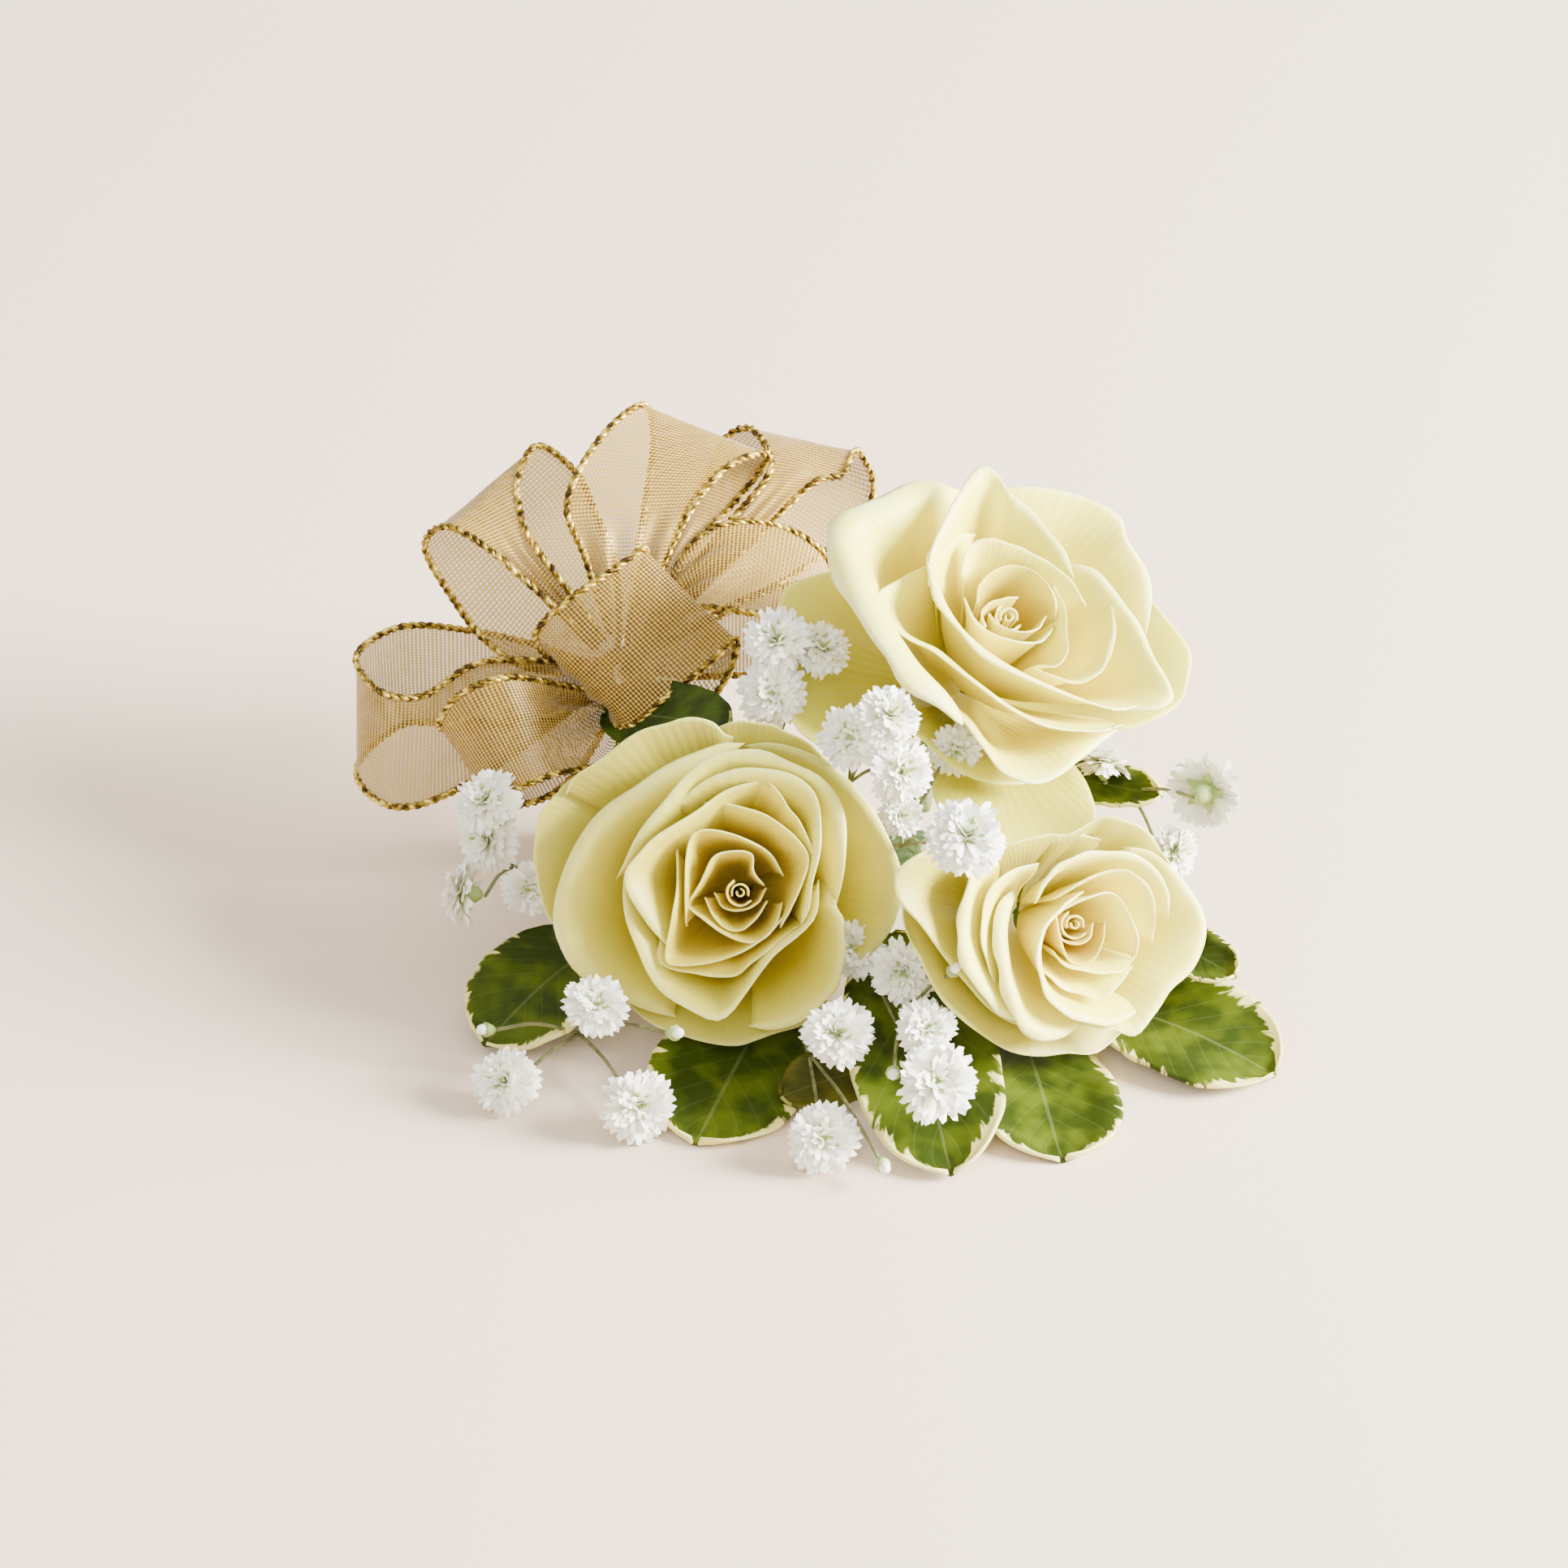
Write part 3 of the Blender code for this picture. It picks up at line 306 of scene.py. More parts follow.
# The taped stems: the bundle's middle from end to end, its radius, and how far apart the tape's turns are.
TAPED = [(-24.0, 15.0, 4.2), (-8.0, 9.0, 4.2), (8.0, 6.0, 4.2), (20.0, 5.0, 4.2)]
TAPED_RADIUS = 4.6
TAPE_TURN = 7.0
TAPE_SIDES = 36
# The taped wire that ties the bow's knot down to the bundle; it also runs where shade falls under the knot, as
# a dark line standing in for that shade.
BOW_WIRE = [(-20.0, 17.0, 23.5), (-20.3, 16.2, 17.0), (-19.2, 14.4, 11.0), (-18.4, 13.1, 7.6)]
BOW_WIRE_RADIUS = 0.75


# ---- materials ----

class Finish:
    """A material being made. A value given to a node's input is a number, a colour or another node's output."""

    def __init__(self, name, looks):
        self.material = bpy.data.materials.new(name)
        self.material.use_nodes = True
        self.nodes = self.material.node_tree.nodes
        self.links = self.material.node_tree.links
        self.shader = self.nodes["Principled BSDF"]
        self.fill(self.shader, looks)

    def fill(self, node, values):
        for label, value in values.items():
            if isinstance(value, bpy.types.NodeSocket):
                self.links.new(value, node.inputs[label])
            else:
                node.inputs[label].default_value = value

    def add(self, kind, values):
        new = self.nodes.new(kind)
        self.fill(new, values)
        return new

    def calc(self, operation, *values):
        new = self.nodes.new("ShaderNodeMath")
        new.operation = operation
        self.fill(new, dict(enumerate(values)))
        return new.outputs[0]

    def mix(self, share, first, second):
        new = self.nodes.new("ShaderNodeMix")
        new.data_type = "RGBA"
        self.fill(new, {0: share, "A": first, "B": second})
        return new.outputs["Result"]

    def ramp(self, value, stops):
        new = self.add("ShaderNodeValToRGB", {"Fac": value})
        band = new.color_ramp
        while len(band.elements) < len(stops):
            band.elements.new(0.5)
        for element, (place, colour) in zip(band.elements, stops):
            element.position = place
            element.color = (*colour, 1.0)
        return new.outputs["Color"]

    def colour(self, value):
        self.fill(self.shader, {"Base Color": value})

    def uv_parts(self):
        uv = self.nodes.new("ShaderNodeUVMap")
        uv.uv_map = "UVMap"
        split = self.add("ShaderNodeSeparateXYZ", {0: uv.outputs["UV"]})
        return uv.outputs["UV"], split.outputs["X"], split.outputs["Y"]

    def speckle(self, scale, detail, vector=None):
        """Noise over the object, or over the vector given."""
        if vector is None:
            vector = self.nodes.new("ShaderNodeTexCoord").outputs["Object"]
        values = {"Scale": scale, "Detail": detail, "Vector": vector}
        return self.add("ShaderNodeTexNoise", values).outputs["Fac"]

    def waves(self, scale, distortion, detail, vector):
        values = {"Scale": scale, "Distortion": distortion, "Detail": detail, "Vector": vector}
        return self.add("ShaderNodeTexWave", values).outputs["Fac"]

    def bump(self, height, strength, distance):
        new = self.add("ShaderNodeBump", {"Strength": strength, "Distance": distance, "Height": height})
        self.fill(self.shader, {"Normal": new.outputs["Normal"]})


def petal_material(name, base, middle, rim, blush):
    """A petal: a deep foot (its own yellow, and painted shade between petals), cream face and paler rim, with
    fine veins and a soft bump.
    """
    make = Finish(name, {"Roughness": 0.48, "Subsurface Weight": 0.16, "Subsurface Radius": (0.9, 0.85, 0.35),
                         "Subsurface Scale": 0.0012, "Sheen Weight": 0.04, "Sheen Roughness": 0.5})
    uv, across, along = make.uv_parts()
    shift = make.calc("MULTIPLY_ADD", make.speckle(240.0, 3.0), 0.16, -0.08)
    stops = [(0.0, base), (0.48, base), (0.79, middle), (0.95, rim), (1.0, blush)]
    make.colour(make.ramp(make.calc("ADD", along, shift), stops))
    make.bump(make.waves(7.0, 2.5, 2.0, uv), 0.10, 0.0003)
    return make.material


def leaf_material(name, green, deep, margin, margin_width):
    """A leaf: green with darker patches, a pale midrib and faint side veins, and a ragged cream margin."""
    make = Finish(name, {"Roughness": 0.5, "Specular IOR Level": 0.1, "Subsurface Weight": 0.06,
                         "Subsurface Radius": (0.4, 0.9, 0.2), "Subsurface Scale": 0.0008})
    calc = make.calc
    uv, across, along = make.uv_parts()
    side = calc("ABSOLUTE", calc("MULTIPLY_ADD", across, 2.0, -1.0))
    greens = make.ramp(make.speckle(190.0, 2.0), [(0.40, deep), (0.60, green)])
    # The margin's teeth run outwards, and the margin is wider in places and towards the tip.
    slanting = calc("MULTIPLY_ADD", side, -3.0, calc("MULTIPLY", along, 11.0))
    streak = make.add("ShaderNodeCombineXYZ", {0: calc("MULTIPLY", across, 3.0), 1: slanting})
    edge = calc("MULTIPLY_ADD", make.speckle(1.6, 3.0, streak.outputs[0]), 0.90, side)
    edge = calc("MULTIPLY_ADD", make.speckle(95.0, 1.0), 0.55, edge)
    edge = calc("MULTIPLY_ADD", calc("POWER", along, 7.0), 0.42, edge)
    pale = calc("MULTIPLY", calc("SUBTRACT", edge, 1.70 - margin_width), 14.0)
    pale = calc("MINIMUM", calc("MAXIMUM", pale, 0.0), 1.0)
    face = make.mix(pale, greens, (*margin, 1.0))
    stripe = calc("FRACT", calc("MULTIPLY", calc("MULTIPLY_ADD", side, -0.35, along), 8.0))
    line = calc("ABSOLUTE", calc("SUBTRACT", stripe, 0.5))
    midrib = calc("MULTIPLY", calc("LESS_THAN", side, 0.025), 0.09)
    veins = calc("MAXIMUM", midrib, calc("MULTIPLY", calc("LESS_THAN", line, 0.04), 0.035))
    make.colour(make.mix(veins, face, (0.45, 0.52, 0.20, 1.0)))
    make.bump(calc("MULTIPLY_ADD", line, 0.6, veins), 0.35, 0.0003)
    return make.material


def plant_material(name, low, high, roughness):
    """Stems, twigs and calyxes: a colour that varies from place to place, with a fine grain."""
    make = Finish(name, {"Roughness": roughness, "Subsurface Weight": 0.15, "Subsurface Scale": 0.0008})
    make.colour(make.ramp(make.speckle(600.0, 3.0), [(0.32, low), (0.68, high)]))
    make.bump(make.speckle(1200.0, 2.0), 0.2, 0.0002)
    return make.material


def floret_material():
    """A white petal, greenish at its foot and faintly veined."""
    make = Finish("floret_white", {"Roughness": 0.6, "Subsurface Weight": 0.15,
                                   "Subsurface Radius": (1.0, 1.0, 0.85), "Subsurface Scale": 0.0005})
    uv, across, along = make.uv_parts()
    stops = [(0.0, (0.30, 0.40, 0.08)), (0.30, (0.60, 0.66, 0.28)), (0.52, (0.92, 0.91, 0.72)),
             (0.75, (0.99, 0.97, 0.83)), (1.0, (1.0, 0.99, 0.87))]
    make.colour(make.ramp(along, stops))
    make.bump(make.speckle(1500.0, 2.0), 0.2, 0.0001)
    return make.material


def ribbon_material():
    """Sheer gold organza: fine threads both ways, with the background showing between them."""
    make = Finish("ribbon_organza", {"Roughness": 0.38, "Metallic": 0.15, "Sheen Weight": 0.25})
    calc = make.calc
    uv, across, along = make.uv_parts()
    weft = calc("SINE", calc("MULTIPLY", along, 2.0 * math.pi / WEFT_SPACING))
    warp = calc("SINE", calc("MULTIPLY", across, 2.0 * math.pi / WARP_SPACING))
    threads = calc("MULTIPLY_ADD", warp, 0.20, calc("MULTIPLY_ADD", weft, 0.32, 0.5))
    threads = calc("MULTIPLY_ADD", make.speckle(700.0, 2.0), 0.2, calc("SUBTRACT", threads, 0.1))
    stops = [(0.15, (0.09, 0.037, 0.001)), (0.50, (0.27, 0.15, 0.004)), (0.92, (0.72, 0.46, 0.03))]
    make.colour(make.ramp(threads, stops))
    make.fill(make.shader, {"Alpha": calc("MULTIPLY_ADD", threads, 0.64, 0.49)})
    make.bump(threads, 0.25, 0.0002)
    return make.material


def cord_material():
    """Twisted metallic gold thread: bright strands with dark gold between them."""
    make = Finish("cord_gold", {"Metallic": 0.75, "Roughness": 0.34})
    stops = [(0.38, (0.06, 0.034, 0.005)), (0.50, (0.36, 0.23, 0.02)), (0.64, (0.92, 0.72, 0.17))]
    make.colour(make.ramp(make.speckle(900.0, 2.0), stops))
    make.bump(make.speckle(2500.0, 2.0), 0.4, 0.0001)
    return make.material


def tape_material():
    """Stretched crepe floral tape: dull green with fine creases across it, painted darker in their troughs as
    shade.
    """
    make = Finish("floral_tape", {"Roughness": 0.75})
    creases = make.waves(1.6, 6.0, 3.0, make.uv_parts()[0])
    # The colour follows the crease height: painted shade, darker in the troughs.
    make.colour(make.ramp(creases, [(0.2, (0.10, 0.17, 0.06)), (0.8, (0.14, 0.23, 0.09))]))
    make.bump(creases, 0.4, 0.0002)
    return make.material


# Each petal finish: its colour at the foot, on the face, near the rim and at the rim. The deeper gold of the
# feet, and of the eye and heart finishes, is partly the petals' own yellow and partly painted shade down in the
# rose's middle and between its petals.
PETAL_COLOURS = {
    "eye": ((0.50, 0.34, 0.01), (0.68, 0.52, 0.03), (0.80, 0.66, 0.07), (0.90, 0.80, 0.20)),
    "heart": ((0.62, 0.46, 0.01), (0.77, 0.65, 0.05), (0.88, 0.80, 0.14), (0.95, 0.91, 0.32)),
    "cream": ((0.52, 0.42, 0.01), (0.69, 0.61, 0.06), (0.82, 0.77, 0.16), (0.93, 0.90, 0.33)),
    "pale": ((0.86, 0.72, 0.04), (0.95, 0.88, 0.11), (0.98, 0.95, 0.22), (1.00, 1.00, 0.42)),
    "bright": ((0.87, 0.74, 0.04), (0.95, 0.89, 0.12), (0.98, 0.96, 0.24), (1.00, 1.00, 0.44)),
    "shade": ((0.50, 0.45, 0.02), (0.66, 0.62, 0.06), (0.80, 0.79, 0.13), (0.92, 0.91, 0.30)),
    "guard": ((0.41, 0.35, 0.02), (0.54, 0.48, 0.05), (0.64, 0.61, 0.11), (0.78, 0.77, 0.28)),
}
EYE, HEART, CREAM, PALE, BRIGHT, SHADE, GUARD = (
    petal_material("petal_" + key, *colours) for key, colours in PETAL_COLOURS.items())
# Each rose's finishes: its first petals, and then its inner, middle and outer ones.
PETAL_FINISH = {"rose_a": (EYE, HEART, CREAM, GUARD), "rose_b": (HEART, PALE, BRIGHT, SHADE),
                "rose_c": (EYE, PALE, BRIGHT, GUARD)}
EYE_PETALS = {"rose_a": 4, "rose_b": 6, "rose_c": 5}
LEAF_COLOURS = {
    "variegated": ((0.072, 0.100, 0.004), (0.026, 0.042, 0.003), (0.82, 0.74, 0.24), 0.02),
    "green": ((0.045, 0.075, 0.006), (0.018, 0.034, 0.004), (0.30, 0.36, 0.08), -0.3),
    "olive": ((0.11, 0.10, 0.008), (0.05, 0.05, 0.006), (0.35, 0.33, 0.08), -0.25),
}
LEAF_FINISH = {key: leaf_material("leaf_" + key, *colours) for key, colours in LEAF_COLOURS.items()}
STALK = plant_material("stem_green", (0.16, 0.24, 0.06), (0.30, 0.38, 0.12), 0.5)
TWIG = plant_material("twig_green", (0.10, 0.09, 0.03), (0.21, 0.24, 0.08), 0.55)
CALYX = plant_material("calyx_green", (0.24, 0.36, 0.08), (0.42, 0.52, 0.18), 0.5)
WHITE = floret_material()
ORGANZA = ribbon_material()
GOLD = cord_material()
TAPE = tape_material()


# ---- shapes ----

def put(point):
    """A place in mm in the corsage, as the same place in metres in the row frame."""
    return tuple((Vector(point) - UNDERSIDE) * MM)


def start_shape():
    return {"points": [], "faces": [], "uvs": []}


def add_grid(shape, place, rows, columns, uv=None):
    """Adds a sheet through place(across, along), across -1 to 1 and along 0 to 1."""
    first = len(shape["points"])
    for row in range(rows + 1):
        for column in range(columns + 1):
            across = 2.0 * column / columns - 1.0
            along = row / rows
            shape["points"].append(place(across, along))
            shape["uvs"].append(uv(across, along) if uv else (column / columns, along))
    for row in range(rows):
        for column in range(columns):
            corner = first + row * (columns + 1) + column
            shape["faces"].append((corner, corner + 1, corner + columns + 2, corner + columns + 1))


def walk(line):
    """Each point of a line, the way the line runs there, and how far along it is."""
    length = 0.0
    for index, point in enumerate(line):
        before = line[max(index - 1, 0)]
        after = line[min(index + 1, len(line) - 1)]
        length += (point - before).length
        yield point, (after - before).normalized(), length


def add_tube_faces(shape, first, rings, sides):
    """Joins rings of points, from the first point on, into a closed tube."""
    for ring in range(rings - 1):
        for step in range(sides):
            after = (step + 1) % sides
            low = first + ring * sides
            shape["faces"].append((low + step, low + after, low + sides + after, low + sides + step))
    shape["faces"].append(tuple(first + step for step in reversed(range(sides))))
    shape["faces"].append(tuple(first + (rings - 1) * sides + step for step in range(sides)))


def add_tube(shape, line, radius, sides=6):
    """Adds a closed round tube along a line of points; radius is a number, or a function of 0 to 1 along it."""
    points = [Vector(point) for point in line]
    first = len(shape["points"])
    side = (points[1] - points[0]).normalized().orthogonal().normalized()
    for index, (middle, way, length) in enumerate(walk(points)):
        side = (side - way * side.dot(way)).normalized()
        other = way.cross(side)
        size = radius(index / (len(points) - 1)) if callable(radius) else radius
        for step in range(sides):
            angle = 2.0 * math.pi * step / sides
            shape["points"].append(tuple(middle + (side * math.cos(angle) + other * math.sin(angle)) * size))
            shape["uvs"].append((step / sides, length))
    add_tube_faces(shape, first, len(points), sides)


def finish_shape(name, shape, finish, node, thickness=0.0):
    """The shape as an object with its finish, material slot and the CAD node that it replaces."""
    mesh = bpy.data.meshes.new(name)
    mesh.from_pydata([put(point) for point in shape["points"]], [], shape["faces"])
    mesh.materials.append(finish)
    layer = mesh.uv_layers.new(name="UVMap")
    for loop in mesh.loops:
        layer.data[loop.index].uv = shape["uvs"][loop.vertex_index]
    mesh.shade_smooth()
    mesh.update()
    new = bpy.data.objects.new(name, mesh)
    bpy.context.scene.collection.objects.link(new)
    if thickness:
        solid = new.modifiers.new("thickness", "SOLIDIFY")
        solid.thickness = thickness * MM
        solid.offset = 0.0
    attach(new, "root")
    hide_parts(node)
    return new


def axes_of(looks):
    forward = Vector(looks).normalized()
    right = Vector((0.0, 0.0, 1.0)).cross(forward)
    if right.length < 1e-6:
        right = Vector((1.0, 0.0, 0.0))
    right.normalize()
    return right, forward.cross(right).normalized(), forward


def bezier(first, second, third, fourth, along):
    back = 1.0 - along
    weights = (back ** 3, 3.0 * back * back * along, 3.0 * back * along * along, along ** 3)
    corners = (first, second, third, fourth)
    return tuple(sum(w * p[axis] for w, p in zip(weights, corners)) for axis in range(len(first)))


def smooth_line(knots, steps):
    """Points along a smooth curve through the knots (Catmull-Rom)."""
    ends = [2.0 * Vector(knots[0]) - Vector(knots[1])] + [Vector(k) for k in knots]
    ends.append(2.0 * Vector(knots[-1]) - Vector(knots[-2]))
    line = []
    for span in range(len(knots) - 1):
        a, b, c, d = ends[span:span + 4]
        for step in range(steps):
            t = step / steps
            line.append(0.5 * ((2 * b) + (c - a) * t + (2 * a - 5 * b + 4 * c - d) * t * t
                               + (3 * b - a - 3 * c + d) * t ** 3))
    line.append(Vector(knots[-1]))
    return line


def eased(value):
    value = min(max(value, 0.0), 1.0)
    return value * value * (3.0 - 2.0 * value)


# ---- roses ----

def bud_outline(facing, half, reach):
    angles = [math.radians(facing + half * part / 3.0) for part in range(-3, 4)]
    return [(reach * math.cos(angle), reach * math.sin(angle)) for angle in angles]


def seen_in_rose(rose, right, up, high):
    """Where a place on the viewer's plane, this high in the rose, lies across the rose's own axis."""
    axes = axes_of(rose["looks"])
    view = math.radians(VIEW_ELEVATION)
    seen_right = Vector((1.0, 0.0, 0.0))
    seen_up = Vector((0.0, math.sin(view), math.cos(view)))
    over = high - rose["level"]
    wanted = (rose["drawn"] * right - over * axes[2].dot(seen_right),
              rose["drawn"] * up - over * axes[2].dot(seen_up))
    a, b = axes[0].dot(seen_right), axes[1].dot(seen_right)
    c, d = axes[0].dot(seen_up), axes[1].dot(seen_up)
    spread = a * d - b * c
    return (d * wanted[0] - b * wanted[1]) / spread, (a * wanted[1] - c * wanted[0]) / spread


def petal_place(rose, depth, rise, drop, lip, curl, outline, seed):
    """One petal's middle surface in its rose's frame: it hugs the bud, flares to its outline and rolls out."""
    root = (0.6 + 1.8 * (1.0 - depth), 2.4 + 6.0 * depth)
    wall = 0.48 + 0.26 * depth
    rim = smooth_line([(right, up, 0.0) for right, up in outline], 12)
    known = {}

    def rim_at(across):
        if across not in known:
            spot = along_line(rim, 0.5 + 0.5 * across)
            high = rise - drop * abs(across) ** 3.0 + 0.5 * noise.noise(Vector((across * 1.9, seed * 7.3, 0.3)))
            x, y = seen_in_rose(rose, spot.x, spot.y, high)
            known[across] = (math.hypot(x, y), math.atan2(y, x), high)
        return known[across]

    middle = rim_at(0.0)

    def place(across, along):
        reach, angle, high = rim_at(across)
        angle = (angle - middle[1] + math.pi) % (2.0 * math.pi) - math.pi
        small = noise.noise(Vector((across * 4.5, seed * 3.1, 5.3)))
        roll = lip * (1.0 - 0.75 * across ** 6)
        hold = wall * (0.5 * reach + 0.5 * min(middle[0], 1.4 * reach)) + TUCK * across
        wide = max(reach - 0.85 * roll * math.sin(math.radians(min(curl, 90))), 0.2)
        hold = min(hold, wide)
        step = min(along / LIP_START, 1.0)
        tall = high - root[1]
        outward, upward = bezier(root, (hold, root[1] + 0.25 * tall),
                                 (hold + 0.35 * (wide - hold), root[1] + 0.82 * tall), (wide, high), step)
        if along > LIP_START:
            slope = math.atan2(0.65 * (wide - hold), 0.18 * tall)
            turn = math.radians(curl) * (1.0 + 0.4 * small) * (along - LIP_START) / (1.0 - LIP_START)
            outward += roll * (math.cos(slope) - math.cos(slope + turn))
            upward += roll * (math.sin(slope + turn) - math.sin(slope))
        fold = noise.noise(Vector((across * 3.2, along * 1.3, seed * 5.1)))
        outward += 0.045 * reach * fold * min(1.0, 3.0 * along) * (1.0 - 0.6 * along)
        turned = middle[1] + angle * (0.85 + 0.15 * along)
        return outward * math.cos(turned), outward * math.sin(turned), upward

    return place


def in_rose(rose):
    right, up, forward = axes_of(rose["looks"])
    base = Vector(rose["face"]) - forward * rose["depth"]

    def place(point):
        return tuple(base + right * point[0] + up * point[1] + forward * point[2])

    return place


def build_petals(name):
    rose = ROSES[name]
    where = in_rose(rose)
    petals = [("", rose["level"] + over, 0.4, 0.3, 10, bud_outline(facing, half, reach))
              for facing, half, reach, over in BUD] + PETALS[name]
    layers = len(petals)
    built = {}
    for layer, (stands_for, *spec) in enumerate(petals):
        place = petal_place(rose, (layers - layer) / layers, *spec, seed=layer + 0.37)
        built[stands_for] = built.get(stands_for, 0) + 1
        label = "%s_%s_shown" % (name, stands_for) if stands_for else "%s_inner_%d" % (name, built[""])
        if stands_for and built[stands_for] > 1:
            label += "_%d" % built[stands_for]
        eye, inner, cream, guard = PETAL_FINISH[name]
        finish = inner if layer < 0.5 * layers else cream if layer < 0.78 * layers else guard
        finish = eye if layer < EYE_PETALS[name] else finish
        shape = start_shape()
        add_grid(shape, lambda across, along: where(place(across, along)), *PETAL_GRID)
        finish_shape(label, shape, finish, name + "_" + (stands_for or "heart"), PETAL_THICK)


def build_stem(name):
    """The rose's swollen hip, its five sepals bent back under the bloom, and its stalk down to the tape."""
    rose = ROSES[name]
    where = in_rose(rose)
    hip = start_shape()

    def hip_place(across, along):
        step = along * (len(HIP_PROFILE) - 1)
        low = min(int(step), len(HIP_PROFILE) - 2)
        radius, height = (a + (b - a) * (step - low) for a, b in zip(HIP_PROFILE[low], HIP_PROFILE[low + 1]))
        angle = math.pi * across
        radius *= 1.0 + 0.03 * math.cos(5.0 * angle)
        return where((radius * math.cos(angle), radius * math.sin(angle), height))

    add_grid(hip, hip_place, 16, 24)
    forward = Vector(rose["looks"]).normalized()
    bottom = Vector(rose["face"]) - forward * (rose["depth"] + 4.8)
    line = smooth_line([tuple(bottom), tuple(bottom - forward * 4.2), rose["stem_end"]], 8)
    add_tube(hip, line, lambda along: 1.5 + 0.12 * math.sin(9.0 * along), 10)
    finish_shape(name + "_stem_shown", hip, STALK, name + "_stem")
    sepals = start_shape()
    for index in range(SEPALS):
        turn = 2.0 * math.pi * (index + 0.3) / SEPALS

        def sepal_place(across, along):
            half = 1.9 * (1.0 - along) ** 0.7 * (0.6 + 1.6 * along * (1.0 - along))
            outward = 3.0 + 6.0 * along + 0.3 * math.sin(4.0 * along + index)
            height = 1.0 + 0.6 * math.sin(math.pi * along) - 1.6 * along * along - 0.4 * across * across
            x = outward * math.cos(turn) - half * across * math.sin(turn)
            y = outward * math.sin(turn) + half * across * math.cos(turn)
            return where((x, y, height))

        add_grid(sepals, sepal_place, 12, 4)
    finish_shape(name + "_sepals", sepals, CALYX, name + "_stem", SEPAL_THICK)


# ---- ribbon ----

def facing_viewer(point):
    """A place in the corsage from how far right, up and toward the viewer it is from the bow's middle."""
    right, up, toward = point
    view = math.radians(VIEW_ELEVATION)
    return BOW + Vector((right, up * math.sin(view) - toward * math.cos(view),
                         up * math.cos(view) + toward * math.sin(view)))


def along_line(line, along):
    step = along * (len(line) - 1)
    low = min(int(step), len(line) - 2)
    return line[low].lerp(line[low + 1], step - low)


def loop_place(spec, seed):
    """The surface of a ribbon loop between its two edges, pleated where the knot holds it."""
    edges = [smooth_line([facing_viewer(knot) for knot in spec[side]], 24) for side in ("left", "right")]

    def middle(along):
        return along_line(edges[0], along).lerp(along_line(edges[1], along), 0.5)

    def place(side, along):
        left, right = (along_line(edge, along) for edge in edges)
        before = middle(max(along - 0.01, 0.0))
        after = middle(min(along + 0.01, 1.0))
        normal = (right - left).cross(after - before)
        normal = normal.normalized() if normal.length > 1e-9 else Vector((0.0, 0.0, 1.0))
        free = eased(min(along, 1.0 - along) / 0.28)
        spare = math.sqrt(max(0.0, RIBBON_WIDTH ** 2 - (right - left).length_squared)) / 6.0
        pleat = 0.55 * spare * (1.0 - free) * math.sin(3.0 * math.pi * side + seed)
        flutter = 0.45 * free * noise.noise(Vector((side * 0.8, along * 5.0, seed)))
        return left.lerp(right, 0.5 + 0.5 * side) + normal * (pleat + flutter)

    return place


def twisted_cord(name, line, node):
    """Two gold strands twisted round a line, along an edge of the ribbon."""
    points = [Vector(point) for point in line]
    shape = start_shape()
    for strand in range(2):
        path = []
        side = (points[1] - points[0]).normalized().orthogonal().normalized()
        for middle, way, length in walk(points):
            side = (side - way * side.dot(way)).normalized()
            angle = 2.0 * math.pi * length / CORD_TWIST + math.pi * strand
            out = side * math.cos(angle) + way.cross(side) * math.sin(angle)
            path.append(middle + out * CORD_RADIUS * 0.85)
        add_tube(shape, path, CORD_RADIUS)
    return finish_shape(name, shape, GOLD, node)


def edge_cords(name, place, steps):
    cords = []
    for side, label in ((-1.0, "left"), (1.0, "right")):
        line = [place(side, step / steps) for step in range(steps + 1)]
        cords.append(twisted_cord("%s_cord_%s" % (name, label), line, name))
    return cords


def build_loop(name, spec, seed):
    place = loop_place(spec, seed)
    shape = start_shape()
    rows = LOOP_GRID[0]
    # How far along the ribbon each row is, as the mean of its two edges and its middle.
    lengths = [0.0]
    for row in range(rows):
        here, there = row / rows, (row + 1) / rows
        sides = [(place(side, there) - place(side, here)).length for side in (-1.0, 0.0, 1.0)]
        lengths.append(lengths[-1] + sum(sides) / 3.0)

    def uv(across, along):
        return across * 0.5 * RIBBON_WIDTH, lengths[round(along * rows)]

    add_grid(shape, lambda across, along: tuple(place(across, along)), *LOOP_GRID, uv)
    band = finish_shape(name + "_organza", shape, ORGANZA, name)
    cords = edge_cords(name, place, int(lengths[-1] / CORD_STEP))


def build_knot():
    """The ribbon drawn round the middle of the bow, bunched into ridges, and the wire that ties it down."""
    axis = Vector(KNOT_AXIS).normalized()
    one = axis.orthogonal().normalized()
    other = axis.cross(one)

    def place(across, along):
        angle = 2.0 * math.pi * along
        ridge = 0.75 * math.sin(3.5 * math.pi * across + 0.8 * math.sin(angle))
        radius = (KNOT_RADIUS + ridge) * (1.0 - 0.5 * across ** 6)
        return BOW + (one * math.cos(angle) + other * math.sin(angle)) * radius + axis * (KNOT_HALF * across)

    shape = start_shape()
    add_grid(shape, lambda across, along: tuple(place(across, along)), *KNOT_GRID,
             lambda across, along: (across * 0.5 * RIBBON_WIDTH, along * KNOT_LENGTH))
    band = finish_shape("bow_knot_shown", shape, ORGANZA, "bow_knot")
    cords = edge_cords("bow_knot", place, KNOT_CORD_STEPS)
    wire = start_shape()
    add_tube(wire, smooth_line(BOW_WIRE, 8), BOW_WIRE_RADIUS, 8)
    finish_shape("bow_knot_wire", wire, TAPE, "bow_knot")


# ---- leaves ----

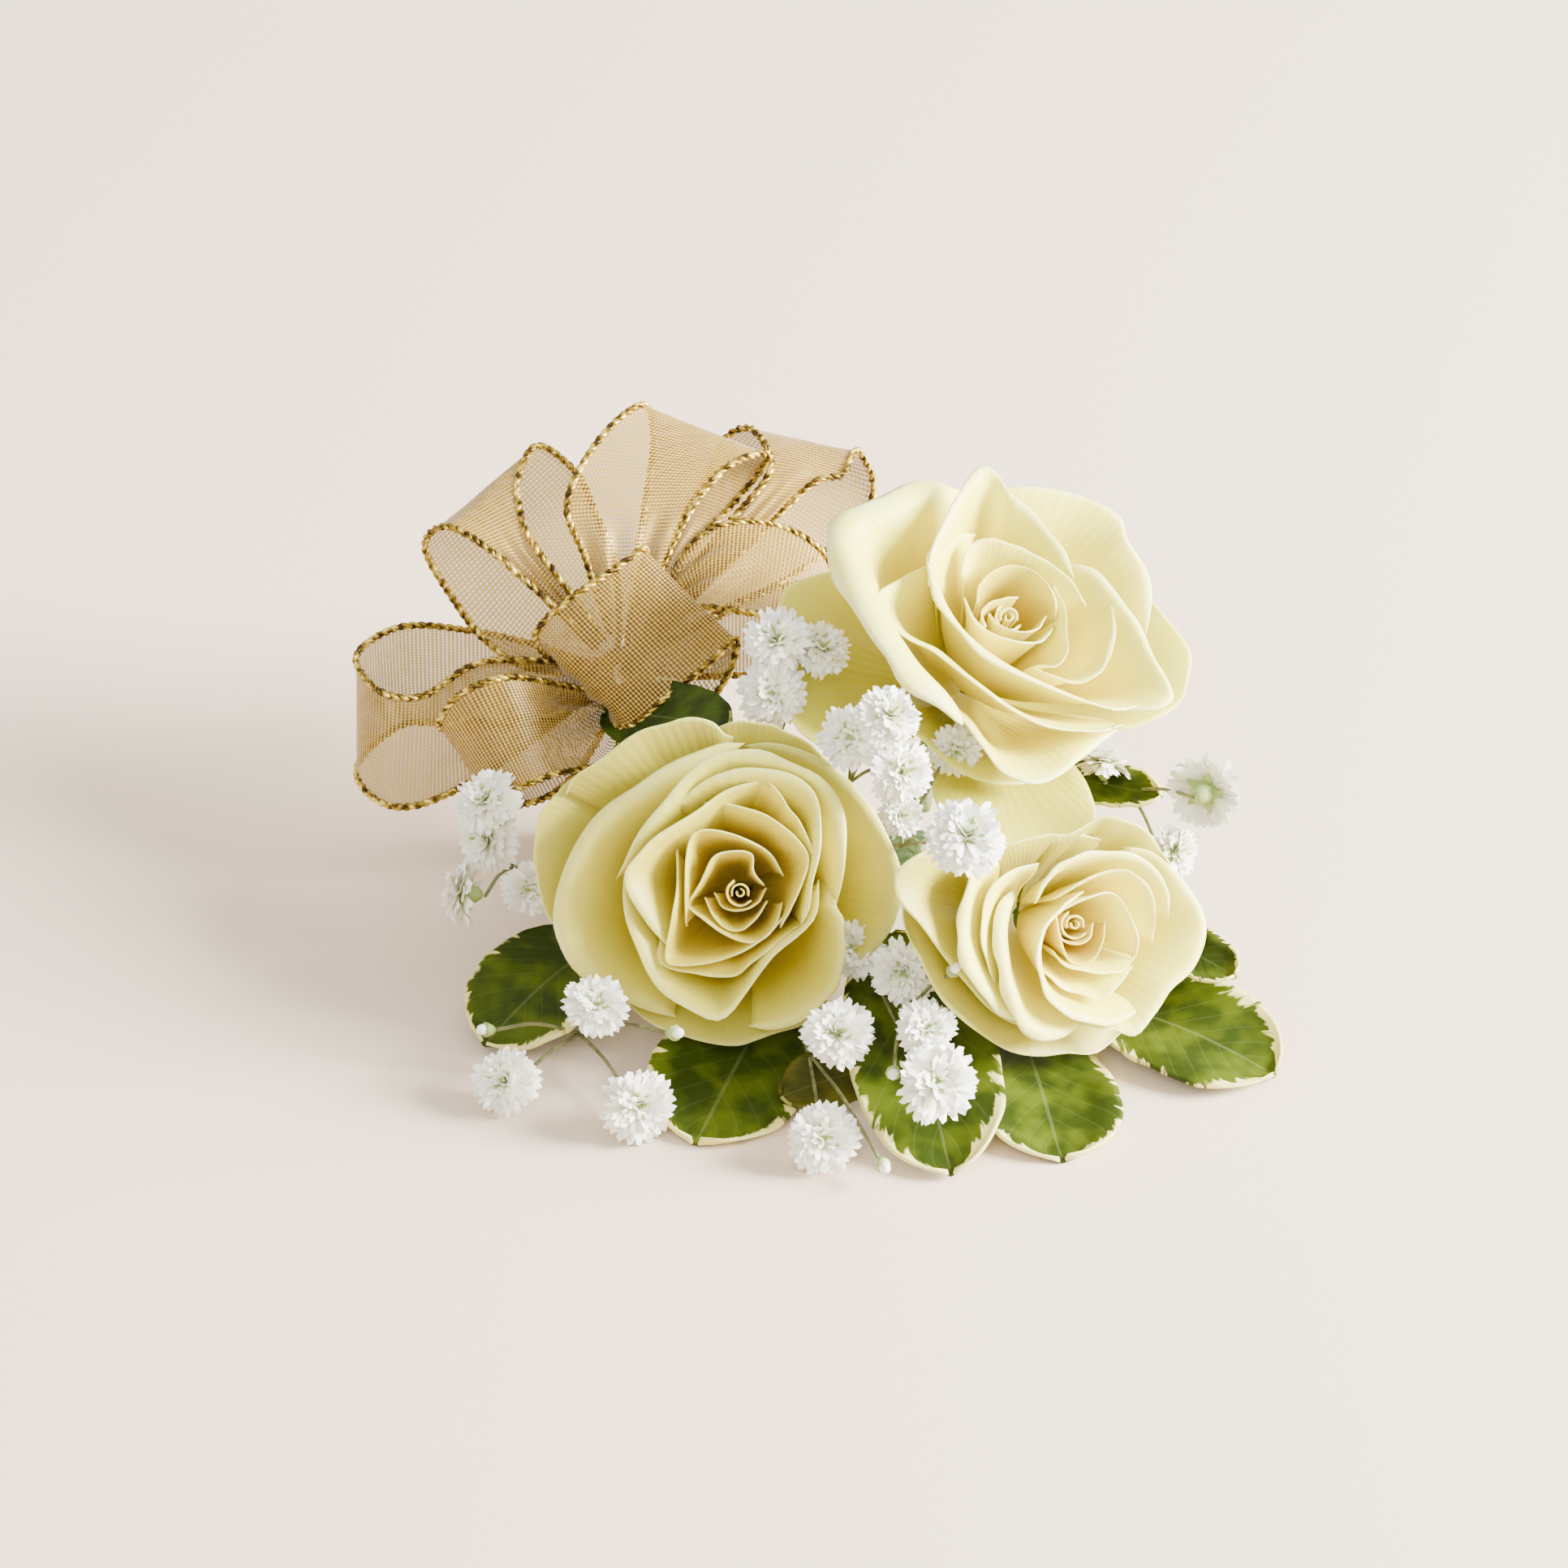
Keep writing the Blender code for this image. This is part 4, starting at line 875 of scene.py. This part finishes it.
def build_leaf(name, spec, seed):
    root, tip, width, faces, arch, finish = spec
    root = Vector(root)
    along_axis = Vector(tip) - root
    faces = Vector(faces)
    face = (faces - along_axis * faces.dot(along_axis) / along_axis.length_squared).normalized()
    side_axis = along_axis.normalized().cross(face)

    def place(side, along):
        reach = (along - LEAF_WIDEST) / (LEAF_WIDEST if along < LEAF_WIDEST else 1.0 - LEAF_WIDEST)
        half = 0.5 * width * (0.06 + 0.94 * max(0.0, 1.0 - abs(reach) ** 2.4) ** 0.62)
        half += 0.35 * abs(side) * noise.noise(Vector((along * 9.0, seed, 1.0 if side > 0 else 4.0)))
        lift = arch * math.sin(math.pi * along) + 0.06 * width * (abs(side) ** 1.5 - 0.5)
        lift += 1.1 * side * side * noise.noise(Vector((along * 3.5, seed + 9.0, 2.0 * side)))
        point = root + along_axis * along + side_axis * (side * half) + face * lift
        return point.x, point.y, max(point.z, 0.5 * LEAF_THICK + 0.06)

    shape = start_shape()
    add_grid(shape, place, *LEAF_GRID)
    finish_shape(name + "_shown", shape, LEAF_FINISH[finish], name, LEAF_THICK)


# ---- baby's breath ----

def add_floret(petals, calyx, centre, radius, faces, dice):
    """A double white floret: whorls of notched petals fanned from a green calyx, shorter towards its middle."""
    right, up, forward = axes_of(faces)
    centre = Vector(centre)
    foot = centre - forward * (0.38 * radius)
    for count, spread, length in WHORLS:
        for number in range(count):
            turn = 2.0 * math.pi * (number + dice.uniform(-0.3, 0.3)) / count + spread
            tilt = math.radians(spread + dice.uniform(-10.0, 10.0))
            long = radius * length * dice.uniform(0.84, 1.08)
            half = radius * (0.08 + 0.11 * length) * dice.uniform(0.85, 1.2)
            bend = dice.uniform(0.0, 0.35)
            cup = dice.uniform(-0.5, 0.5)
            roll = dice.uniform(-0.4, 0.4)
            way = right * math.cos(turn) + up * math.sin(turn)
            lie = way.cross(forward)

            def place(across, along):
                lean = tilt + bend * along * along
                width = half * (0.2 + 0.8 * math.sin(0.5 * math.pi * min(along * 1.3, 1.0)))
                lobe = max(0.0, along - 0.55) / 0.45
                notch = 0.20 * lobe * (1.0 - min(1.0, 2.0 * abs(across))) + 0.12 * lobe * across * across
                run = long * (along - notch)
                out = way * math.sin(lean) + forward * math.cos(lean)
                rise = forward * math.sin(lean) - way * math.cos(lean)
                aside = width * across
                point = foot + out * run + lie * aside + rise * (aside * (cup * across + roll))
                return point.x, point.y, max(point.z, 0.1)

            add_grid(petals, place, 4, 4)
    cup_line = [foot + forward * (step * radius) for step in (-0.55, -0.4, -0.1, 0.18)]
    add_tube(calyx, cup_line,
             lambda along: radius * (0.08 + 0.20 * math.sin(0.5 * math.pi * min(1.0, 1.6 * along))), 8)
    for number in range(7):
        turn = 2.4 * number
        way = right * math.cos(turn) + up * math.sin(turn)
        base = foot + way * (0.035 * radius * number)
        threads = [base, base + (forward + way * 0.4) * (0.34 * radius),
                   base + (forward + way * 0.5) * (0.46 * radius)]
        add_tube(calyx, threads, lambda along: radius * 0.05 * (1.0 if along < 0.9 else 0.4), 5)
    for number in range(5):
        turn = 2.0 * math.pi * number / 5.0 + 0.4
        way = right * math.cos(turn) + up * math.sin(turn)
        lie = way.cross(forward)

        def sepal(across, along):
            half = radius * 0.14 * (1.0 - along) ** 0.6
            return tuple(foot + way * radius * (0.2 + 0.36 * along) - forward * (radius * (0.12 + 0.06 * along))
                         + lie * (half * across))

        add_grid(calyx, sepal, 3, 2)


def add_bud(petals, calyx, centre, radius, way):
    """A bud: a green calyx with a white tip."""
    centre = Vector(centre)
    way = way.normalized()
    add_tube(calyx, [centre + way * (radius * step) for step in (-1.0, -0.7, -0.2, 0.2)],
             lambda along: radius * (0.2 + 0.6 * math.sin(0.5 * math.pi * along)), 8)
    add_tube(petals, [centre + way * (radius * step) for step in (0.0, 0.3, 0.7, 0.95, 1.05)],
             lambda along: radius * 0.6 * math.sqrt(max(0.02, 1.0 - along * along)), 8)


def build_sprig(name, spec, seed):
    dice = random.Random(seed)
    petals = start_shape()
    calyx = start_shape()
    twigs = start_shape()
    stem = spec["stem"]
    add_tube(twigs, smooth_line(stem, 8), lambda along: TWIG_RADIUS - 0.1 * along, 8)
    ends = [(place, radius, Vector(faces).normalized()) for place, radius, faces in spec["florets"]]
    ends += [(place, radius, None) for place, radius in spec["buds"]]
    for index, (place, radius, faces) in enumerate(ends):
        start = Vector(stem[-1])
        end = Vector(place)
        if faces is None:
            faces = (end - start).normalized()
            add_bud(petals, calyx, place, radius, faces)
            end = end - faces * radius * 0.9
        else:
            add_floret(petals, calyx, place, radius, faces, dice)
            end = end - faces * radius
        middle = (start + end) / 2.0 + Vector((0.0, 0.0, 0.6 + 0.2 * index))
        add_tube(twigs, smooth_line([start, middle, end], 8), FLORET_STALK_RADIUS)
    finish_shape(name + "_florets", petals, WHITE, name)
    finish_shape(name + "_calyxes", calyx, CALYX, name)
    finish_shape(name + "_twigs", twigs, TWIG, name)


# ---- taped stems ----

def build_tape():
    """Floral tape wound round the stems, its turns overlapping like a spiral."""
    line = smooth_line(TAPED, 40)
    sides = TAPE_SIDES
    shape = start_shape()
    for index, (middle, way, length) in enumerate(walk(line)):
        level = Vector((-way.y, way.x, 0.0)).normalized()
        part = index / (len(line) - 1)
        swell = (1.0 - 0.14 * part) * (0.62 + 0.38 * eased(min(part, 1.0 - part) / 0.02))
        for side in range(sides):
            angle = 2.0 * math.pi * (side + 0.5) / sides
            turn = (length / TAPE_TURN - side / sides) % 1.0
            grain = noise.noise(Vector((length * 0.4, math.cos(angle) * 2.0, math.sin(angle) * 2.0)))
            radius = TAPED_RADIUS * swell - 0.25 + 0.28 * turn + 0.12 * grain
            height = max(middle.z + radius * 1.05 * math.sin(angle), 0.0)
            point = middle + level * (radius * math.cos(angle))
            shape["points"].append((point.x, point.y, height))
            shape["uvs"].append((side / sides * 4.0, length * 0.3))
    add_tube_faces(shape, 0, len(line), sides)
    finish_shape("stem_tape_shown", shape, TAPE, "stem_tape")


build_tape()
for rose_name in ROSES:
    build_petals(rose_name)
    build_stem(rose_name)
for loop_number, (loop_name, loop_spec) in enumerate(LOOPS.items()):
    build_loop(loop_name, loop_spec, 1.7 * loop_number)
build_knot()
for leaf_number, (leaf_name, leaf_spec) in enumerate(LEAVES.items()):
    build_leaf(leaf_name, leaf_spec, 3.1 * leaf_number)
for sprig_number, (sprig_name, sprig_spec) in enumerate(SPRIGS.items()):
    build_sprig(sprig_name, sprig_spec, 40 + sprig_number)


# ---- stage ----

# The lamps: name, place, size and power. The stage's places and sizes are in metres in the row frame.
LAMPS = [("key", (0.95, -0.05, 0.42), 0.45, 88.0), ("fill", (-0.3, -0.8, 0.8), 0.8, 5.0)]
LAMP_TARGET = (0.0, 0.0, 0.02)
FLOOR_HALF = 6.0
FLOOR_COLOUR = (0.88, 0.705, 0.53, 1.0)
CAMERA_TARGET = (0.0, -0.0073, 0.02)
CAMERA_DISTANCE = 0.7
CAMERA_LENS = 129.1


def look_at(item, target):
    item.rotation_euler = (Vector(target) - item.location).to_track_quat("-Z", "Y").to_euler()


def build_stage():
    """A plain pale floor, soft light from the upper right, and the camera."""
    mesh = bpy.data.meshes.new("floor")
    corners = [(x * FLOOR_HALF, y * FLOOR_HALF, 0) for x, y in ((-1, -1), (1, -1), (1, 1), (-1, 1))]
    mesh.from_pydata(corners, [], [(0, 1, 2, 3)])
    floor = bpy.data.objects.new("floor", mesh)
    bpy.context.scene.collection.objects.link(floor)
    mesh.materials.append(Finish("floor", {"Base Color": FLOOR_COLOUR, "Roughness": 0.8}).material)
    world = bpy.data.worlds.new("studio")
    bpy.context.scene.world = world
    world.use_nodes = True
    sky = world.node_tree.nodes["Background"].inputs
    sky["Color"].default_value = (1.0, 0.98, 0.96, 1.0)
    sky["Strength"].default_value = 1.3
    for name, place, size, power in LAMPS:
        lamp = bpy.data.lights.new(name, "AREA")
        lamp.size = size
        lamp.energy = power
        new = bpy.data.objects.new(name, lamp)
        bpy.context.scene.collection.objects.link(new)
        new.location = place
        look_at(new, LAMP_TARGET)
    camera = bpy.data.cameras.new("camera")
    camera.sensor_width = 36.0
    camera.lens = CAMERA_LENS
    eye = bpy.data.objects.new("camera", camera)
    bpy.context.scene.collection.objects.link(eye)
    elevation = math.radians(VIEW_ELEVATION)
    target = Vector(CAMERA_TARGET)
    eye.location = target + Vector((0.0, -math.cos(elevation), math.sin(elevation))) * CAMERA_DISTANCE
    look_at(eye, target)
    bpy.context.scene.camera = eye


build_stage()
bpy.context.view_layer.update()
